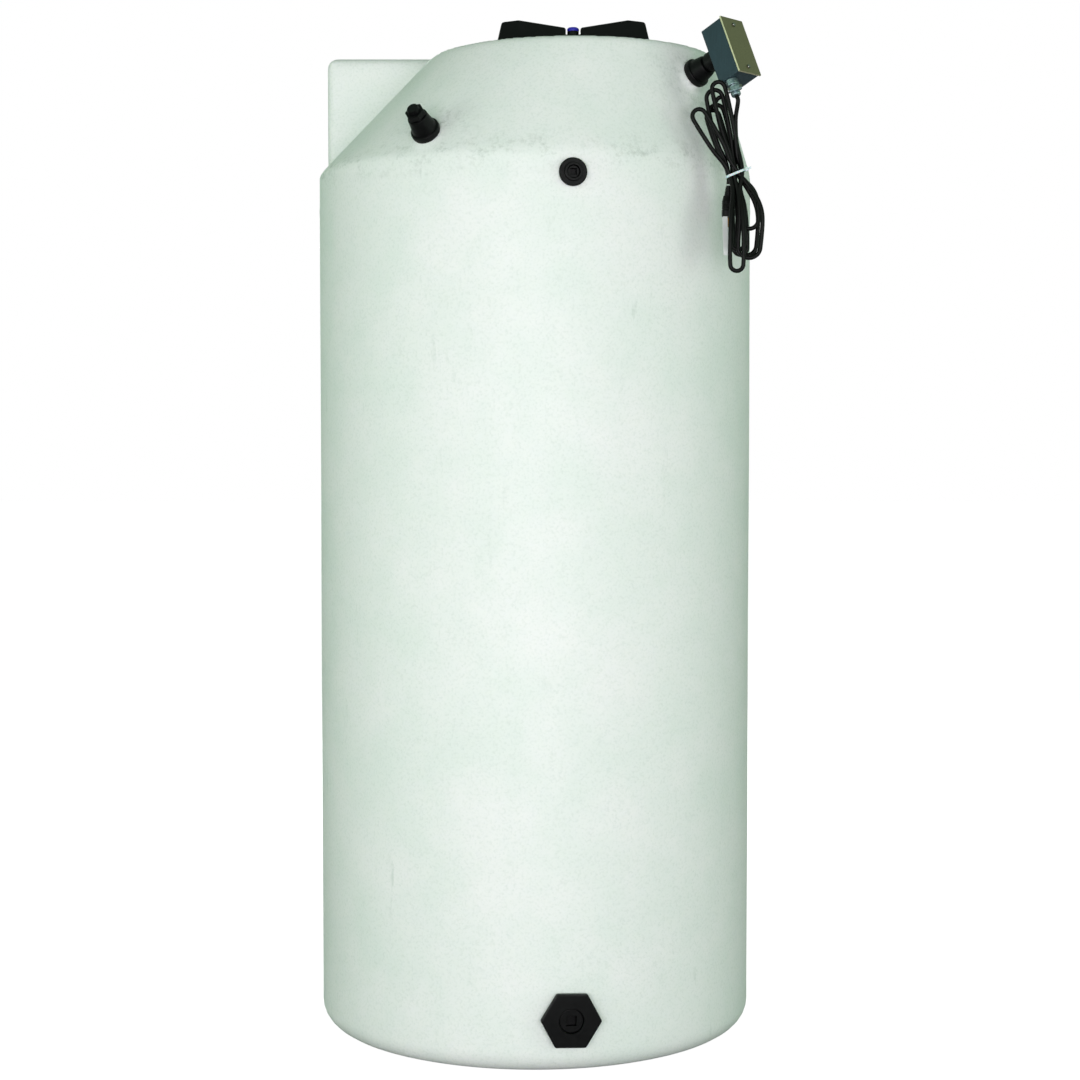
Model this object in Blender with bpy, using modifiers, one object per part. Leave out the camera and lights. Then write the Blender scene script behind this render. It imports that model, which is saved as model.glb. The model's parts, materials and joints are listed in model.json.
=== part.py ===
"""Bulk milk tank: an upright moulded polyethylene tank with a screw manway lid, four bulkhead
fittings and a cord-connected immersion heater with its junction box. Metres, +Z up, origin at the
centre of the tank's flat base, front of the tank towards -Y."""

import math

import bmesh
import bpy
from mathutils import Matrix, Quaternion, Vector

# ---- tank shell ----
BODY_RADIUS = 0.450
WALL = 0.008
SHOULDER_HEIGHT = 1.770  # where the straight wall ends
TOP_HEIGHT = 2.004
TOP_RADIUS = 0.295  # of the flat top, before its edge is rounded
TOP_SHIFT = Vector((0.079, -0.050, 0.0))  # the flat top stands off the tank's axis
BASE_EDGE = 0.046
SHOULDER_EDGE = 0.022
TOP_EDGE = 0.014
TANK_STEPS = 64

# ---- raised deck beside the manway ----
DECK_RADIUS = 0.4385
DECK_FRONT = 0.010  # its front wall, as a place along Y
DECK_END = 0.020  # its end wall, as a place along X
DECK_RISE = 0.022  # the deck stands this far above the flat top
DECK_EDGE = 0.018
DECK_ROOT = 0.060  # how far its solid reaches below the shoulder line
DECK_STEPS = 10

# ---- manway ----
MANWAY_HOLE = 0.196
RING_RADIUS = 0.225
RING_BORE = 0.188
RING_THICKNESS = 0.010
RING_CLEARANCE = 0.006  # the deck keeps this clear of the ring
RING_SPIGOT_DEPTH = 0.020
RING_SCREWS = 8
LID_RADIUS = 0.207
LID_THICKNESS = 0.006
SKIRT_CLEARANCE = 0.0015
SKIRT_WALL = 0.005
SKIRT_DEPTH = 0.024
SEAL_THICKNESS = 0.002
SEAL_WIDTH = 0.015
WING_INNER = 0.015
WING_PEAK = 0.1115
WING_SHOULDER = 0.147
WING_OUTER = 0.160
WING_RISE = 0.0625  # top of a wing above the lid's plate
WING_DIP = 0.052  # its height at the middle of the lid
WING_INNER_WIDTH = 0.030
WING_OUTER_WIDTH = 0.120
VENT_STEM = 0.006
VENT_RADIUS = 0.012
VENT_HEIGHT = 0.045
VENT_BORE = 0.0030
VENT_CAP_RADIUS = 0.0125
VENT_CAP_HEIGHT = 0.008
VENT_CAP_STEM = 0.015

# ---- gaps ----
GAP = 0.0003  # between pieces that touch
SHANK_CLEARANCE = 0.0005  # round a shank in its bore

# ---- bulkhead fittings: place, then sizes ----
OUTLET_AZIMUTH = 8.8  # degrees round from the front, towards +X
OUTLET_HEIGHT = 0.109
PORT_AZIMUTH = 9.2
PORT_HEIGHT = 1.728
VENT_PORT_AZIMUTH = -31.0
VENT_PORT_SHARE = 0.170  # how far up the shoulder
HEATER_PORT_AZIMUTH = 48.2
HEATER_PORT_SHARE = 0.725
VENT_PORT_AIM = Vector((-0.36, -0.75, 0.56))  # where its axis points, out of the shoulder
HEATER_PORT_AIM = Vector((0.666, -0.624, 0.408))
SEAT_RISE = 0.0005  # a fitting's pad stands this far proud of the wall
SEAL_STEP = 0.003
ROUND_STEPS = 32

OUTLET = {"flange": 0.060, "seat": 0.050, "barrel": 0.030, "bore": 0.024, "thickness": 0.014}
PORT = {"flange": 0.027, "seat": 0.025, "barrel": 0.0165, "bore": 0.0125, "thickness": 0.007}
SHOULDER_PORT = {"flange": 0.0290, "seat": 0.0285, "barrel": 0.0175, "bore": 0.0125, "thickness": 0.010}
NUT_THICKNESS = 0.010
NUT_MARGIN = 0.012  # nut corner radius beyond its barrel
BARREL_END = 0.006
COLLAR_RADIUS = 0.018  # of the front port's raised rim
COLLAR_HEIGHT = 0.006
NECK_RADIUS = 0.0200  # of a shoulder port's tall neck
NECK_BASE = 0.0250
NECK_FLARE = 0.020
VENT_NECK_HEIGHT = 0.034
HEATER_NECK_HEIGHT = 0.025
PAD_MARGIN = 0.003  # a shoulder pad reaches this far below the wall's inside
SHOULDER_BEND = 0.33  # radius of the shoulder where its ports sit
BUSHING_RADIUS = 0.0200
BUSHING_GROOVE = (0.0160, 0.006)  # its collar's radius and height
PLUG_RECESS = 0.004
PLUG_LENGTH = 0.026
SOCKET_WIDTH = 0.020
SOCKET_DEPTH = 0.012

# ---- heater ----
NIPPLE_RADIUS = 0.012
NIPPLE_BORE = 0.0068
NIPPLE_INNER = 0.042  # how far it reaches inside the shell
BOX_STANDOFF = 0.070  # shoulder surface to the back of the box
BOX_DROP = 0.0090  # the box hangs this far below its nipple
BOX_ROLL = 2.3  # degrees about the nipple
BOX_WIDTH = 0.0635
BOX_LENGTH = 0.118
BOX_DEPTH = 0.0500
BOX_WALL = 0.002
COVER_LIP = 0.0020
COVER_THICKNESS = 0.0045
COVER_SCREW_REACH = 0.0465  # each side of the middle
EAR_WIDTH = 0.014
EAR_THICKNESS = 0.003
RISER_RADIUS = 0.006
RISER_DROP = 0.070  # straight stretch inside the shell before it turns down
RISER_BEND = 0.060
ELEMENT_TOP = 0.520
ELEMENT_BOTTOM = 0.120
ELEMENT_RADIUS = 0.004
ELEMENT_SPREAD = 0.015  # each leg from the riser's line

# ---- cord ----
CORD_DIAMETER = 0.0085
CONNECTOR_SIDE = -0.0175  # from the box's middle line
CONNECTOR_HEIGHT = 0.0185  # from the back of the box
CONNECTOR_TURN = 50.0  # degrees, of its clamp about its own axis
CONNECTOR_RADIUS = 0.0125
CONNECTOR_LENGTH = 0.034
HANK_CENTRE = Vector((0.3889, -0.350, 1.7373))
HANK_THICKNESS = 0.0255
TIE_TILT = 23.0  # degrees
TIE_INNER = (0.0193, 0.0133)  # half sizes
TIE_WALL = 0.0016
TIE_BAND = 0.005
PLUG_BODY = (0.026, 0.026, 0.042)
PLUG_CENTRE = Vector((-0.011, 0.0263, -0.059))  # from the hank's centre
BLADE = (0.0015, 0.0063, 0.0165)
BLADE_SPACING = 0.0127
PIN_RADIUS = 0.0024
TAG = (0.010, 0.0008, 0.075)


def collection(name, hidden=False):
    made = bpy.data.collections.new(name)
    bpy.context.scene.collection.children.link(made)
    made.hide_render = hidden
    return made


for old in list(bpy.data.objects):
    bpy.data.objects.remove(old)
TANK = collection("bulk_milk_tank")
HELPERS = collection("cutters", hidden=True)


# ---------------------------------------------------------------- materials


def material(name, colour, roughness, metallic=0.0):
    made = bpy.data.materials.new(name)
    made.use_nodes = True
    shader = made.node_tree.nodes["Principled BSDF"]
    shader.inputs["Base Color"].default_value = (*colour, 1.0)
    shader.inputs["Roughness"].default_value = roughness
    shader.inputs["Metallic"].default_value = metallic
    made.diffuse_color = (*colour, 1.0)
    return made


POLYETHYLENE = material("natural_polyethylene", (0.80, 0.86, 0.83), 0.55)
BLACK_PLASTIC = material("black_polypropylene", (0.012, 0.013, 0.014), 0.42)
BLUE_PLASTIC = material("blue_vent_plastic", (0.010, 0.012, 0.180), 0.40)
RUBBER = material("black_rubber", (0.020, 0.020, 0.020), 0.80)
BOX_STEEL = material("painted_box_steel", (0.045, 0.075, 0.095), 0.45)
COVER_STEEL = material("brushed_cover_steel", (0.42, 0.46, 0.36), 0.35, 1.0)
ZINC = material("zinc_plated_steel", (0.55, 0.57, 0.58), 0.35, 1.0)
STAINLESS = material("stainless_steel", (0.60, 0.60, 0.58), 0.30, 1.0)
CORD_JACKET = material("cord_jacket", (0.012, 0.012, 0.012), 0.50)
NYLON = material("white_nylon", (0.75, 0.80, 0.80), 0.45)
BRASS = material("plug_brass", (0.70, 0.52, 0.22), 0.30, 1.0)
PAPER = material("white_tag", (0.82, 0.84, 0.84), 0.70)


# ---------------------------------------------------------------- shaping tools


def add(name, mesh, finish=None, helper=False):
    """One object in the tank's collection, or in the helpers' if it only shapes another."""
    piece = bpy.data.objects.new(name, mesh)
    (HELPERS if helper else TANK).objects.link(piece)
    if helper:
        piece.hide_render = True
        piece.display_type = "WIRE"
    if finish is not None and mesh is not None:
        mesh.materials.append(finish)
    return piece


def solid_mesh(name, source, smooth=True):
    """The evaluated shape of an object as one closed mesh; the object itself is removed."""
    bpy.context.view_layer.update()
    graph = bpy.context.evaluated_depsgraph_get()
    mesh = bpy.data.meshes.new_from_object(source.evaluated_get(graph))
    mesh.name = name
    cleaner = bmesh.new()
    cleaner.from_mesh(mesh)
    bmesh.ops.remove_doubles(cleaner, verts=cleaner.verts, dist=1e-6)
    bmesh.ops.dissolve_degenerate(cleaner, edges=cleaner.edges, dist=1e-7)
    bmesh.ops.recalc_face_normals(cleaner, faces=cleaner.faces)
    cleaner.to_mesh(mesh)
    cleaner.free()
    mesh.materials.clear()
    bpy.data.objects.remove(source)
    if smooth:
        mesh.shade_smooth()
        mesh.set_sharp_from_angle(angle=math.radians(35.0))
    return mesh


def rounded(corners, steps=4):
    """A polyline through (x, y, radius) corners, each one with a radius turned into an arc."""
    points = []
    for i, (x, y, radius) in enumerate(corners):
        here = Vector((x, y))
        if radius == 0.0:
            points.append(tuple(here))
            continue
        before = (Vector(corners[i - 1][:2]) - here).normalized()
        after = (Vector(corners[(i + 1) % len(corners)][:2]) - here).normalized()
        half = before.angle(after) / 2
        middle = (before + after).normalized()
        centre = here + middle * (radius / math.sin(half))
        reach = radius / math.tan(half)
        start, end = here + before * reach - centre, here + after * reach - centre
        for k in range(steps + 1):
            spoke = start.slerp(end, k / steps)
            points.append(tuple(centre + spoke.normalized() * radius))
    return points


def turned(name, profile, finish=None, steps=ROUND_STEPS, ring=False, helper=False):
    """A solid of revolution about Z. The profile of (radius, height) runs down its outer side."""
    mesh = bpy.data.meshes.new(name + "_profile")
    count = len(profile)
    edges = [(i, (i + 1) % count) for i in range(count if ring else count - 1)]
    mesh.from_pydata([(radius, 0.0, height) for radius, height in profile], edges, [])
    guide = add(name + "_guide", mesh, helper=True)
    screw = guide.modifiers.new("turn", "SCREW")
    screw.steps = screw.render_steps = steps
    screw.use_merge_vertices = True
    screw.merge_threshold = 1e-5
    return add(name, solid_mesh(name, guide), finish, helper)


def tube_profile(inner, outer, low, high):
    """The closed profile of a plain ring."""
    return [(inner, high), (outer, high), (outer, low), (inner, low)]


def flat_piece(name, outlines, half_thickness, finish=None, helper=False):
    """A plate cut to outlines in XY, centred on Z. An outline inside another is a hole."""
    curve = bpy.data.curves.new(name + "_outline", "CURVE")
    curve.dimensions = "2D"
    curve.fill_mode = "BOTH"
    curve.extrude = half_thickness
    for outline in outlines:
        spline = curve.splines.new("POLY")
        spline.points.add(len(outline) - 1)
        for point, (x, y) in zip(spline.points, outline, strict=True):
            point.co = (x, y, 0.0, 1.0)
        spline.use_cyclic_u = True
    guide = bpy.data.objects.new(name + "_guide", curve)
    HELPERS.objects.link(guide)
    return add(name, solid_mesh(name, guide), finish, helper)


def tube(name, points, radius, finish, resolution=2):
    """A round tube along points."""
    curve = bpy.data.curves.new(name, "CURVE")
    curve.dimensions = "3D"
    curve.bevel_depth = radius
    curve.bevel_resolution = resolution
    curve.use_fill_caps = True
    spline = curve.splines.new("POLY")
    spline.points.add(len(points) - 1)
    for point, place in zip(spline.points, points, strict=True):
        point.co = (*place, 1.0)
    curve.materials.append(finish)
    piece = bpy.data.objects.new(name, curve)
    TANK.objects.link(piece)
    return piece


def block(name, size, finish=None, edge=0.0, helper=False):
    """A box centred on its origin, with its edges rounded."""
    mesh = bpy.data.meshes.new(name)
    maker = bmesh.new()
    bmesh.ops.create_cube(maker, size=1.0, matrix=Matrix.Diagonal((*size, 1.0)))
    maker.to_mesh(mesh)
    maker.free()
    piece = add(name, mesh, finish, helper)
    if edge:
        soften(piece, edge)
    return piece


def prism(name, radius, sides, low, high, finish=None, helper=False):
    """A prism about Z from low to high, with the corner radius given."""
    mesh = bpy.data.meshes.new(name)
    maker = bmesh.new()
    middle = Matrix.Translation((0.0, 0.0, (low + high) / 2))
    bmesh.ops.create_cone(
        maker, cap_ends=True, segments=sides, radius1=radius, radius2=radius,
        depth=high - low, matrix=middle,
    )
    maker.to_mesh(mesh)
    maker.free()
    return add(name, mesh, finish, helper)


def soften(piece, width, segments=2, angle=40.0):
    bevel = piece.modifiers.new("soft_edges", "BEVEL")
    bevel.width = width
    bevel.segments = segments
    bevel.limit_method = "ANGLE"
    bevel.angle_limit = math.radians(angle)


def combine(piece, other, operation):
    modifier = piece.modifiers.new(other.name, "BOOLEAN")
    modifier.operation = operation
    modifier.object = other
    modifier.solver = "EXACT"


def cut(piece, other):
    combine(piece, other, "DIFFERENCE")


def join(piece, other):
    combine(piece, other, "UNION")


def place(piece, matrix):
    piece.matrix_world = matrix @ piece.matrix_world


def frame_at(origin, outward, up):
    """A frame with Z along outward and Y as near up as it can be."""
    z = outward.normalized()
    x = up.cross(z).normalized()
    turn = Matrix((x, z.cross(x), z)).transposed()
    return Matrix.Translation(origin) @ turn.to_4x4()


# ---------------------------------------------------------------- tank shell


def shoulder_share(height):
    return min(1.0, max(0.0, (height - SHOULDER_HEIGHT) / (TOP_HEIGHT - SHOULDER_HEIGHT)))


def lean(piece):
    """Slides the rings above the shoulder line towards the manway's axis."""
    for vertex in piece.data.vertices:
        vertex.co += TOP_SHIFT * shoulder_share(vertex.co.z)


def shoulder_frame(azimuth, share, aim):
    """A frame on the shoulder: Z points along aim, out of the shoulder, and Y up its slope. It is
    lifted until a port's seat clears the surface. The second value is how deep its pad goes."""
    angle = math.radians(azimuth)
    spoke = Vector((math.sin(angle), -math.cos(angle), 0.0))
    along = Vector((math.cos(angle), math.sin(angle), 0.0))
    narrowing = TOP_RADIUS - BODY_RADIUS
    radius = BODY_RADIUS + share * narrowing
    rise = TOP_HEIGHT - SHOULDER_HEIGHT
    origin = TOP_SHIFT * share + spoke * radius + Vector((0.0, 0.0, SHOULDER_HEIGHT + share * rise))
    slope = TOP_SHIFT + spoke * narrowing + Vector((0.0, 0.0, rise))
    normal = along.cross(slope).normalized()
    seat = SHOULDER_PORT["seat"]
    lift = seat * math.sin(normal.angle(aim)) + seat**2 / (2 * SHOULDER_BEND)
    return frame_at(origin + normal * lift, aim, slope), WALL + 2 * lift + PAD_MARGIN


def vent_port_frame():
    return shoulder_frame(VENT_PORT_AZIMUTH, VENT_PORT_SHARE, VENT_PORT_AIM)


def heater_port_frame():
    return shoulder_frame(HEATER_PORT_AZIMUTH, HEATER_PORT_SHARE, HEATER_PORT_AIM)


def wall_frame(azimuth, height):
    """The frame on the straight wall: Z points out of it and Y up."""
    angle = math.radians(azimuth)
    spoke = Vector((math.sin(angle), -math.cos(angle), 0.0))
    return frame_at(spoke * BODY_RADIUS + Vector((0.0, 0.0, height)), spoke, Vector((0.0, 0.0, 1.0)))


def deck_solid(name, inset, top, helper=True):
    """The raised deck's block: an arc along the tank's side, closed by two straight walls."""
    radius = DECK_RADIUS - inset
    front, end = DECK_FRONT + inset, DECK_END - inset
    first = math.atan2(math.sqrt(radius**2 - end**2), end)
    last = math.atan2(front, -math.sqrt(radius**2 - front**2))
    arc = [first + (last - first) * k / DECK_STEPS for k in range(DECK_STEPS + 1)]
    outline = [(radius * math.cos(a), radius * math.sin(a)) for a in arc] + [(end, front)]
    low = SHOULDER_HEIGHT - DECK_ROOT
    piece = flat_piece(name, [outline], (top - low) / 2, helper=helper)
    place(piece, Matrix.Translation((0.0, 0.0, (top + low) / 2)))
    return piece


def manway_clearance(name, wall):
    """The space round the manway ring that the deck keeps clear of."""
    piece = prism(name, RING_RADIUS + RING_CLEARANCE + wall, TANK_STEPS, -wall - 0.004, 0.05, helper=True)
    at_manway(piece)
    return piece


def tank_shell(pads, bores):
    slope = math.atan2(TOP_HEIGHT - SHOULDER_HEIGHT, BODY_RADIUS - TOP_RADIUS)
    top_inset = WALL * math.tan(slope / 2)
    shoulder_inset = WALL * math.tan((math.pi / 2 - slope) / 2)
    outer = rounded(
        [
            (0.0, TOP_HEIGHT, 0.0),
            (TOP_RADIUS, TOP_HEIGHT, TOP_EDGE),
            (BODY_RADIUS, SHOULDER_HEIGHT, SHOULDER_EDGE),
            (BODY_RADIUS, 0.0, BASE_EDGE),
            (0.0, 0.0, 0.0),
        ]
    )
    inner = rounded(
        [
            (0.0, TOP_HEIGHT - WALL, 0.0),
            (TOP_RADIUS - top_inset, TOP_HEIGHT - WALL, TOP_EDGE - WALL),
            (BODY_RADIUS - WALL, SHOULDER_HEIGHT - shoulder_inset, SHOULDER_EDGE - WALL),
            (BODY_RADIUS - WALL, WALL, BASE_EDGE - WALL),
            (0.0, WALL, 0.0),
        ]
    )
    shell = turned("tank_shell", outer, POLYETHYLENE, TANK_STEPS)
    cavity = turned("tank_cavity", inner, steps=TANK_STEPS, helper=True)
    lean(shell)
    lean(cavity)
    deck = deck_solid("deck_block", 0.0, TOP_HEIGHT + DECK_RISE)
    soften(deck, DECK_EDGE, 3)
    deck_cavity = deck_solid("deck_cavity", WALL, TOP_HEIGHT + DECK_RISE - WALL)
    soften(deck_cavity, DECK_EDGE - WALL, 2)
    cut(deck, manway_clearance("deck_recess", 0.0))
    cut(deck_cavity, manway_clearance("cavity_recess", WALL))
    join(cavity, deck_cavity)
    join(shell, deck)
    cut(shell, cavity)
    mouth = prism("manway_mouth", MANWAY_HOLE, TANK_STEPS, -4 * WALL, 4 * WALL, helper=True)
    at_manway(mouth)
    cut(shell, mouth)
    for pad in pads:
        join(shell, pad)
    for bore in bores:
        cut(shell, bore)
    return shell


# ---------------------------------------------------------------- manway


def at_manway(piece):
    place(piece, Matrix.Translation(TOP_SHIFT + Vector((0.0, 0.0, TOP_HEIGHT))))


def manway():
    """The ring screwed to the tank's top, its seal, the screw lid and the lid's vent. Heights
    here are counted from the tank's flat top."""
    ring_profile = [
        (RING_BORE, RING_THICKNESS),
        (RING_RADIUS - 0.002, RING_THICKNESS),
        (RING_RADIUS, RING_THICKNESS - 0.002),
        (RING_RADIUS, GAP),
        (MANWAY_HOLE - 2 * SHANK_CLEARANCE, GAP),
        (MANWAY_HOLE - 2 * SHANK_CLEARANCE, -RING_SPIGOT_DEPTH),
        (RING_BORE, -RING_SPIGOT_DEPTH),
    ]
    ring = turned("manway_ring", ring_profile, BLACK_PLASTIC, TANK_STEPS, ring=True)
    screw_circle = (RING_RADIUS + LID_RADIUS) / 2 + 0.001
    shank, head, head_height, length = 0.0020, 0.0042, 0.0028, 0.022
    holes = []
    for k in range(RING_SCREWS):
        angle = math.tau * (k + 0.5) / RING_SCREWS
        spot = Matrix.Translation((screw_circle * math.cos(angle), screw_circle * math.sin(angle), 0.0))
        low, high = RING_THICKNESS - length, RING_THICKNESS + GAP
        screw = turned(
            f"manway_ring_screw_{k + 1}",
            [
                (0.0, high + head_height),
                (head, high + head_height),
                (head, high),
                (shank, high),
                (shank, low),
                (0.0, low),
            ],
            STAINLESS,
            12,
        )
        hole = prism(
            f"ring_screw_hole_{k + 1}",
            shank + SHANK_CLEARANCE,
            12,
            low - 2 * GAP,
            high + 0.01,
            helper=True,
        )
        place(hole, spot)
        place(screw, spot)
        holes.append(hole)
        at_manway(screw)
        at_manway(hole)
        cut(ring, hole)
    at_manway(ring)

    seal_low = RING_THICKNESS + GAP
    seal_high = seal_low + SEAL_THICKNESS
    seal_profile = tube_profile(LID_RADIUS - 0.002 - SEAL_WIDTH, LID_RADIUS - 0.002, seal_low, seal_high)
    seal = turned("lid_gasket", seal_profile, RUBBER, TANK_STEPS, ring=True)
    at_manway(seal)

    plate_low = seal_high + GAP
    plate_high = plate_low + LID_THICKNESS
    skirt = RING_BORE - SKIRT_CLEARANCE
    lid_profile = [
        (0.0, plate_high),
        (LID_RADIUS - 0.002, plate_high),
        (LID_RADIUS, plate_high - 0.002),
        (LID_RADIUS, plate_low),
        (skirt, plate_low),
        (skirt, plate_low - SKIRT_DEPTH),
        (skirt - SKIRT_WALL, plate_low - SKIRT_DEPTH),
        (skirt - SKIRT_WALL, plate_low),
        (0.0, plate_low),
    ]
    lid = turned("manway_lid", lid_profile, BLACK_PLASTIC, TANK_STEPS)
    for side, name in ((1.0, "wing_right"), (-1.0, "wing_left")):
        wing = lid_wing(name, plate_high, side)
        at_manway(wing)
        join(lid, wing)
    stem_hole = prism(
        "vent_stem_hole",
        VENT_STEM + SHANK_CLEARANCE,
        16,
        plate_low - 0.01,
        plate_high + 0.01,
        helper=True,
    )
    at_manway(stem_hole)
    cut(lid, stem_hole)
    at_manway(lid)

    vent_high = plate_high + GAP + VENT_HEIGHT
    vent_profile = [
        (VENT_BORE, vent_high),
        (VENT_RADIUS, vent_high),
        (VENT_RADIUS, plate_high + GAP),
        (VENT_STEM, plate_high + GAP),
        (VENT_STEM, plate_low - 0.004),
        (VENT_BORE, plate_low - 0.004),
    ]
    at_manway(turned("vent_body", vent_profile, BLACK_PLASTIC, 24, ring=True))
    cap_low = vent_high + GAP
    cap_high = cap_low + VENT_CAP_HEIGHT
    cap_profile = [
        (0.0, cap_high),
        (VENT_CAP_RADIUS - 0.003, cap_high),
        (VENT_CAP_RADIUS, cap_high - 0.003),
        (VENT_CAP_RADIUS, cap_low),
        (VENT_BORE - SHANK_CLEARANCE, cap_low),
        (VENT_BORE - SHANK_CLEARANCE, cap_low - VENT_CAP_STEM),
        (0.0, cap_low - VENT_CAP_STEM),
    ]
    at_manway(turned("vent_cap", cap_profile, BLUE_PLASTIC, 24))
    return holes


def lid_wing(name, base, side):
    """One of the lid's two grips: low and narrow at the middle, high and wide at the rim."""
    root = base - LID_THICKNESS / 2
    outline = [
        (side * WING_INNER, root),
        (side * WING_INNER, base + WING_DIP),
        (side * WING_PEAK, base + WING_RISE),
        (side * WING_SHOULDER, base + WING_RISE * 0.90),
        (side * WING_OUTER, root),
    ]
    wing = flat_piece(name, [outline], 1.0, helper=True)
    for vertex in wing.data.vertices:
        across, up, thick = vertex.co
        share = (abs(across) - WING_INNER) / (WING_OUTER - WING_INNER)
        half = (WING_INNER_WIDTH + share * (WING_OUTER_WIDTH - WING_INNER_WIDTH)) / 2
        draft = 1.0 - 0.18 * (up - root) / WING_RISE
        vertex.co = (across, -thick * half * draft, up)
    soften(wing, 0.004)
    return wing


# ---------------------------------------------------------------- bulkhead fittings


def pad_and_bore(name, frame, sizes, depth, through=0.02):
    """The moulded pad that a fitting clamps, and the hole through it."""
    pad = turned(
        name + "_pad",
        [(0.0, SEAT_RISE), (sizes["seat"], SEAT_RISE), (sizes["seat"], -depth), (0.0, -depth)],
        helper=True,
    )
    bore = prism(
        name + "_bore",
        sizes["barrel"] + SHANK_CLEARANCE,
        ROUND_STEPS,
        -depth - through,
        through,
        helper=True,
    )
    place(pad, frame)
    place(bore, frame)
    return pad, bore


def gasket_and_nut(name, frame, sizes, depth):
    """The seal under the flange outside, and the hexagon nut inside."""
    low = SEAT_RISE + GAP
    seal = turned(
        name + "_gasket",
        tube_profile(sizes["barrel"] + SHANK_CLEARANCE, sizes["seat"] - 0.001, low, low + SEAL_STEP),
        RUBBER,
        ring=True,
    )
    top = -depth - GAP
    nut = prism(name + "_nut", sizes["barrel"] + NUT_MARGIN, 6, top - NUT_THICKNESS, top, BLACK_PLASTIC)
    hole = prism(
        name + "_nut_hole",
        sizes["barrel"] + SHANK_CLEARANCE,
        ROUND_STEPS,
        top - NUT_THICKNESS - 0.005,
        top + 0.005,
        helper=True,
    )
    for piece in (seal, nut, hole):
        place(piece, frame)
    cut(nut, hole)


def flange_base():
    return SEAT_RISE + GAP + SEAL_STEP + GAP


def barrel_end(depth):
    return -depth - GAP - NUT_THICKNESS - BARREL_END


def socket_plug(name, frame, sizes, head):
    """A threaded plug sunk in its bore, with a square socket for the key."""
    radius = sizes["bore"] - SHANK_CLEARANCE
    plug = turned(
        name,
        [
            (0.0, head),
            (radius - 0.001, head),
            (radius, head - 0.001),
            (radius, head - PLUG_LENGTH),
            (0.0, head - PLUG_LENGTH),
        ],
        BLACK_PLASTIC,
    )
    width = min(SOCKET_WIDTH, radius)
    socket = block(name + "_socket", (width, width, 2 * SOCKET_DEPTH), helper=True)
    place(socket, Matrix.Translation((0.0, 0.0, head)))
    place(plug, frame)
    place(socket, frame)
    cut(plug, socket)


def outlet():
    """The large outlet low on the front: a hexagon flange with a plug in its bore."""
    frame = wall_frame(OUTLET_AZIMUTH, OUTLET_HEIGHT)
    depth = WALL + SEAT_RISE + OUTLET["seat"] ** 2 / (2 * BODY_RADIUS)
    base = flange_base()
    face = base + OUTLET["thickness"]
    body = prism("outlet_body", OUTLET["flange"], 6, base, face, BLACK_PLASTIC)
    place(body, Matrix.Rotation(math.radians(28.0), 4, "Z"))
    soften(body, 0.003)
    barrel = turned(
        "outlet_barrel",
        [
            (0.0, base + 0.004),
            (OUTLET["barrel"], base + 0.004),
            (OUTLET["barrel"], barrel_end(depth)),
            (0.0, barrel_end(depth)),
        ],
        helper=True,
    )
    bore = turned(
        "outlet_body_bore",
        [
            (0.0, face + 0.01),
            (OUTLET["bore"] + 0.011, face + 0.01),
            (OUTLET["bore"], face - 0.001),
            (OUTLET["bore"], barrel_end(depth) - 0.01),
            (0.0, barrel_end(depth) - 0.01),
        ],
        helper=True,
    )
    for piece in (body, barrel, bore):
        place(piece, frame)
    join(body, barrel)
    cut(body, bore)
    gasket_and_nut("outlet", frame, OUTLET, depth)
    socket_plug("outlet_plug", frame, OUTLET, face - PLUG_RECESS)
    return pad_and_bore("outlet", frame, OUTLET, depth)


def front_port():
    """The small round port high on the front, with a raised rim and a sunk plug."""
    frame = wall_frame(PORT_AZIMUTH, PORT_HEIGHT)
    depth = WALL + SEAT_RISE + PORT["seat"] ** 2 / (2 * BODY_RADIUS)
    base = flange_base()
    face = base + PORT["thickness"]
    rim = face + COLLAR_HEIGHT
    end = barrel_end(depth)
    profile = [
        (PORT["bore"], rim),
        (COLLAR_RADIUS - 0.001, rim),
        (COLLAR_RADIUS, rim - 0.001),
        (COLLAR_RADIUS, face),
        (PORT["flange"] - 0.0015, face),
        (PORT["flange"], face - 0.0015),
        (PORT["flange"], base),
        (PORT["barrel"], base),
        (PORT["barrel"], end),
        (PORT["bore"], end),
    ]
    place(turned("front_port_body", profile, BLACK_PLASTIC, ring=True), frame)
    gasket_and_nut("front_port", frame, PORT, depth)
    socket_plug("front_port_plug", frame, PORT, rim - PLUG_RECESS)
    return pad_and_bore("front_port", frame, PORT, depth)


def shoulder_port(name, frame, depth, height):
    """A tall-necked bulkhead fitting on the shoulder."""
    base = flange_base()
    face = base + SHOULDER_PORT["thickness"]
    end = barrel_end(depth)
    profile = [
        (SHOULDER_PORT["bore"], face + height),
        (NECK_RADIUS - 0.001, face + height),
        (NECK_RADIUS, face + height - 0.001),
        (NECK_RADIUS + 0.0015, face + NECK_FLARE),
        (NECK_BASE, face),
        (SHOULDER_PORT["flange"] - 0.0015, face),
        (SHOULDER_PORT["flange"], face - 0.0015),
        (SHOULDER_PORT["flange"], base),
        (SHOULDER_PORT["barrel"], base),
        (SHOULDER_PORT["barrel"], end),
        (SHOULDER_PORT["bore"], end),
    ]
    place(turned(name + "_body", profile, BLACK_PLASTIC, ring=True), frame)
    gasket_and_nut(name, frame, SHOULDER_PORT, depth)
    return face + height


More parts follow.
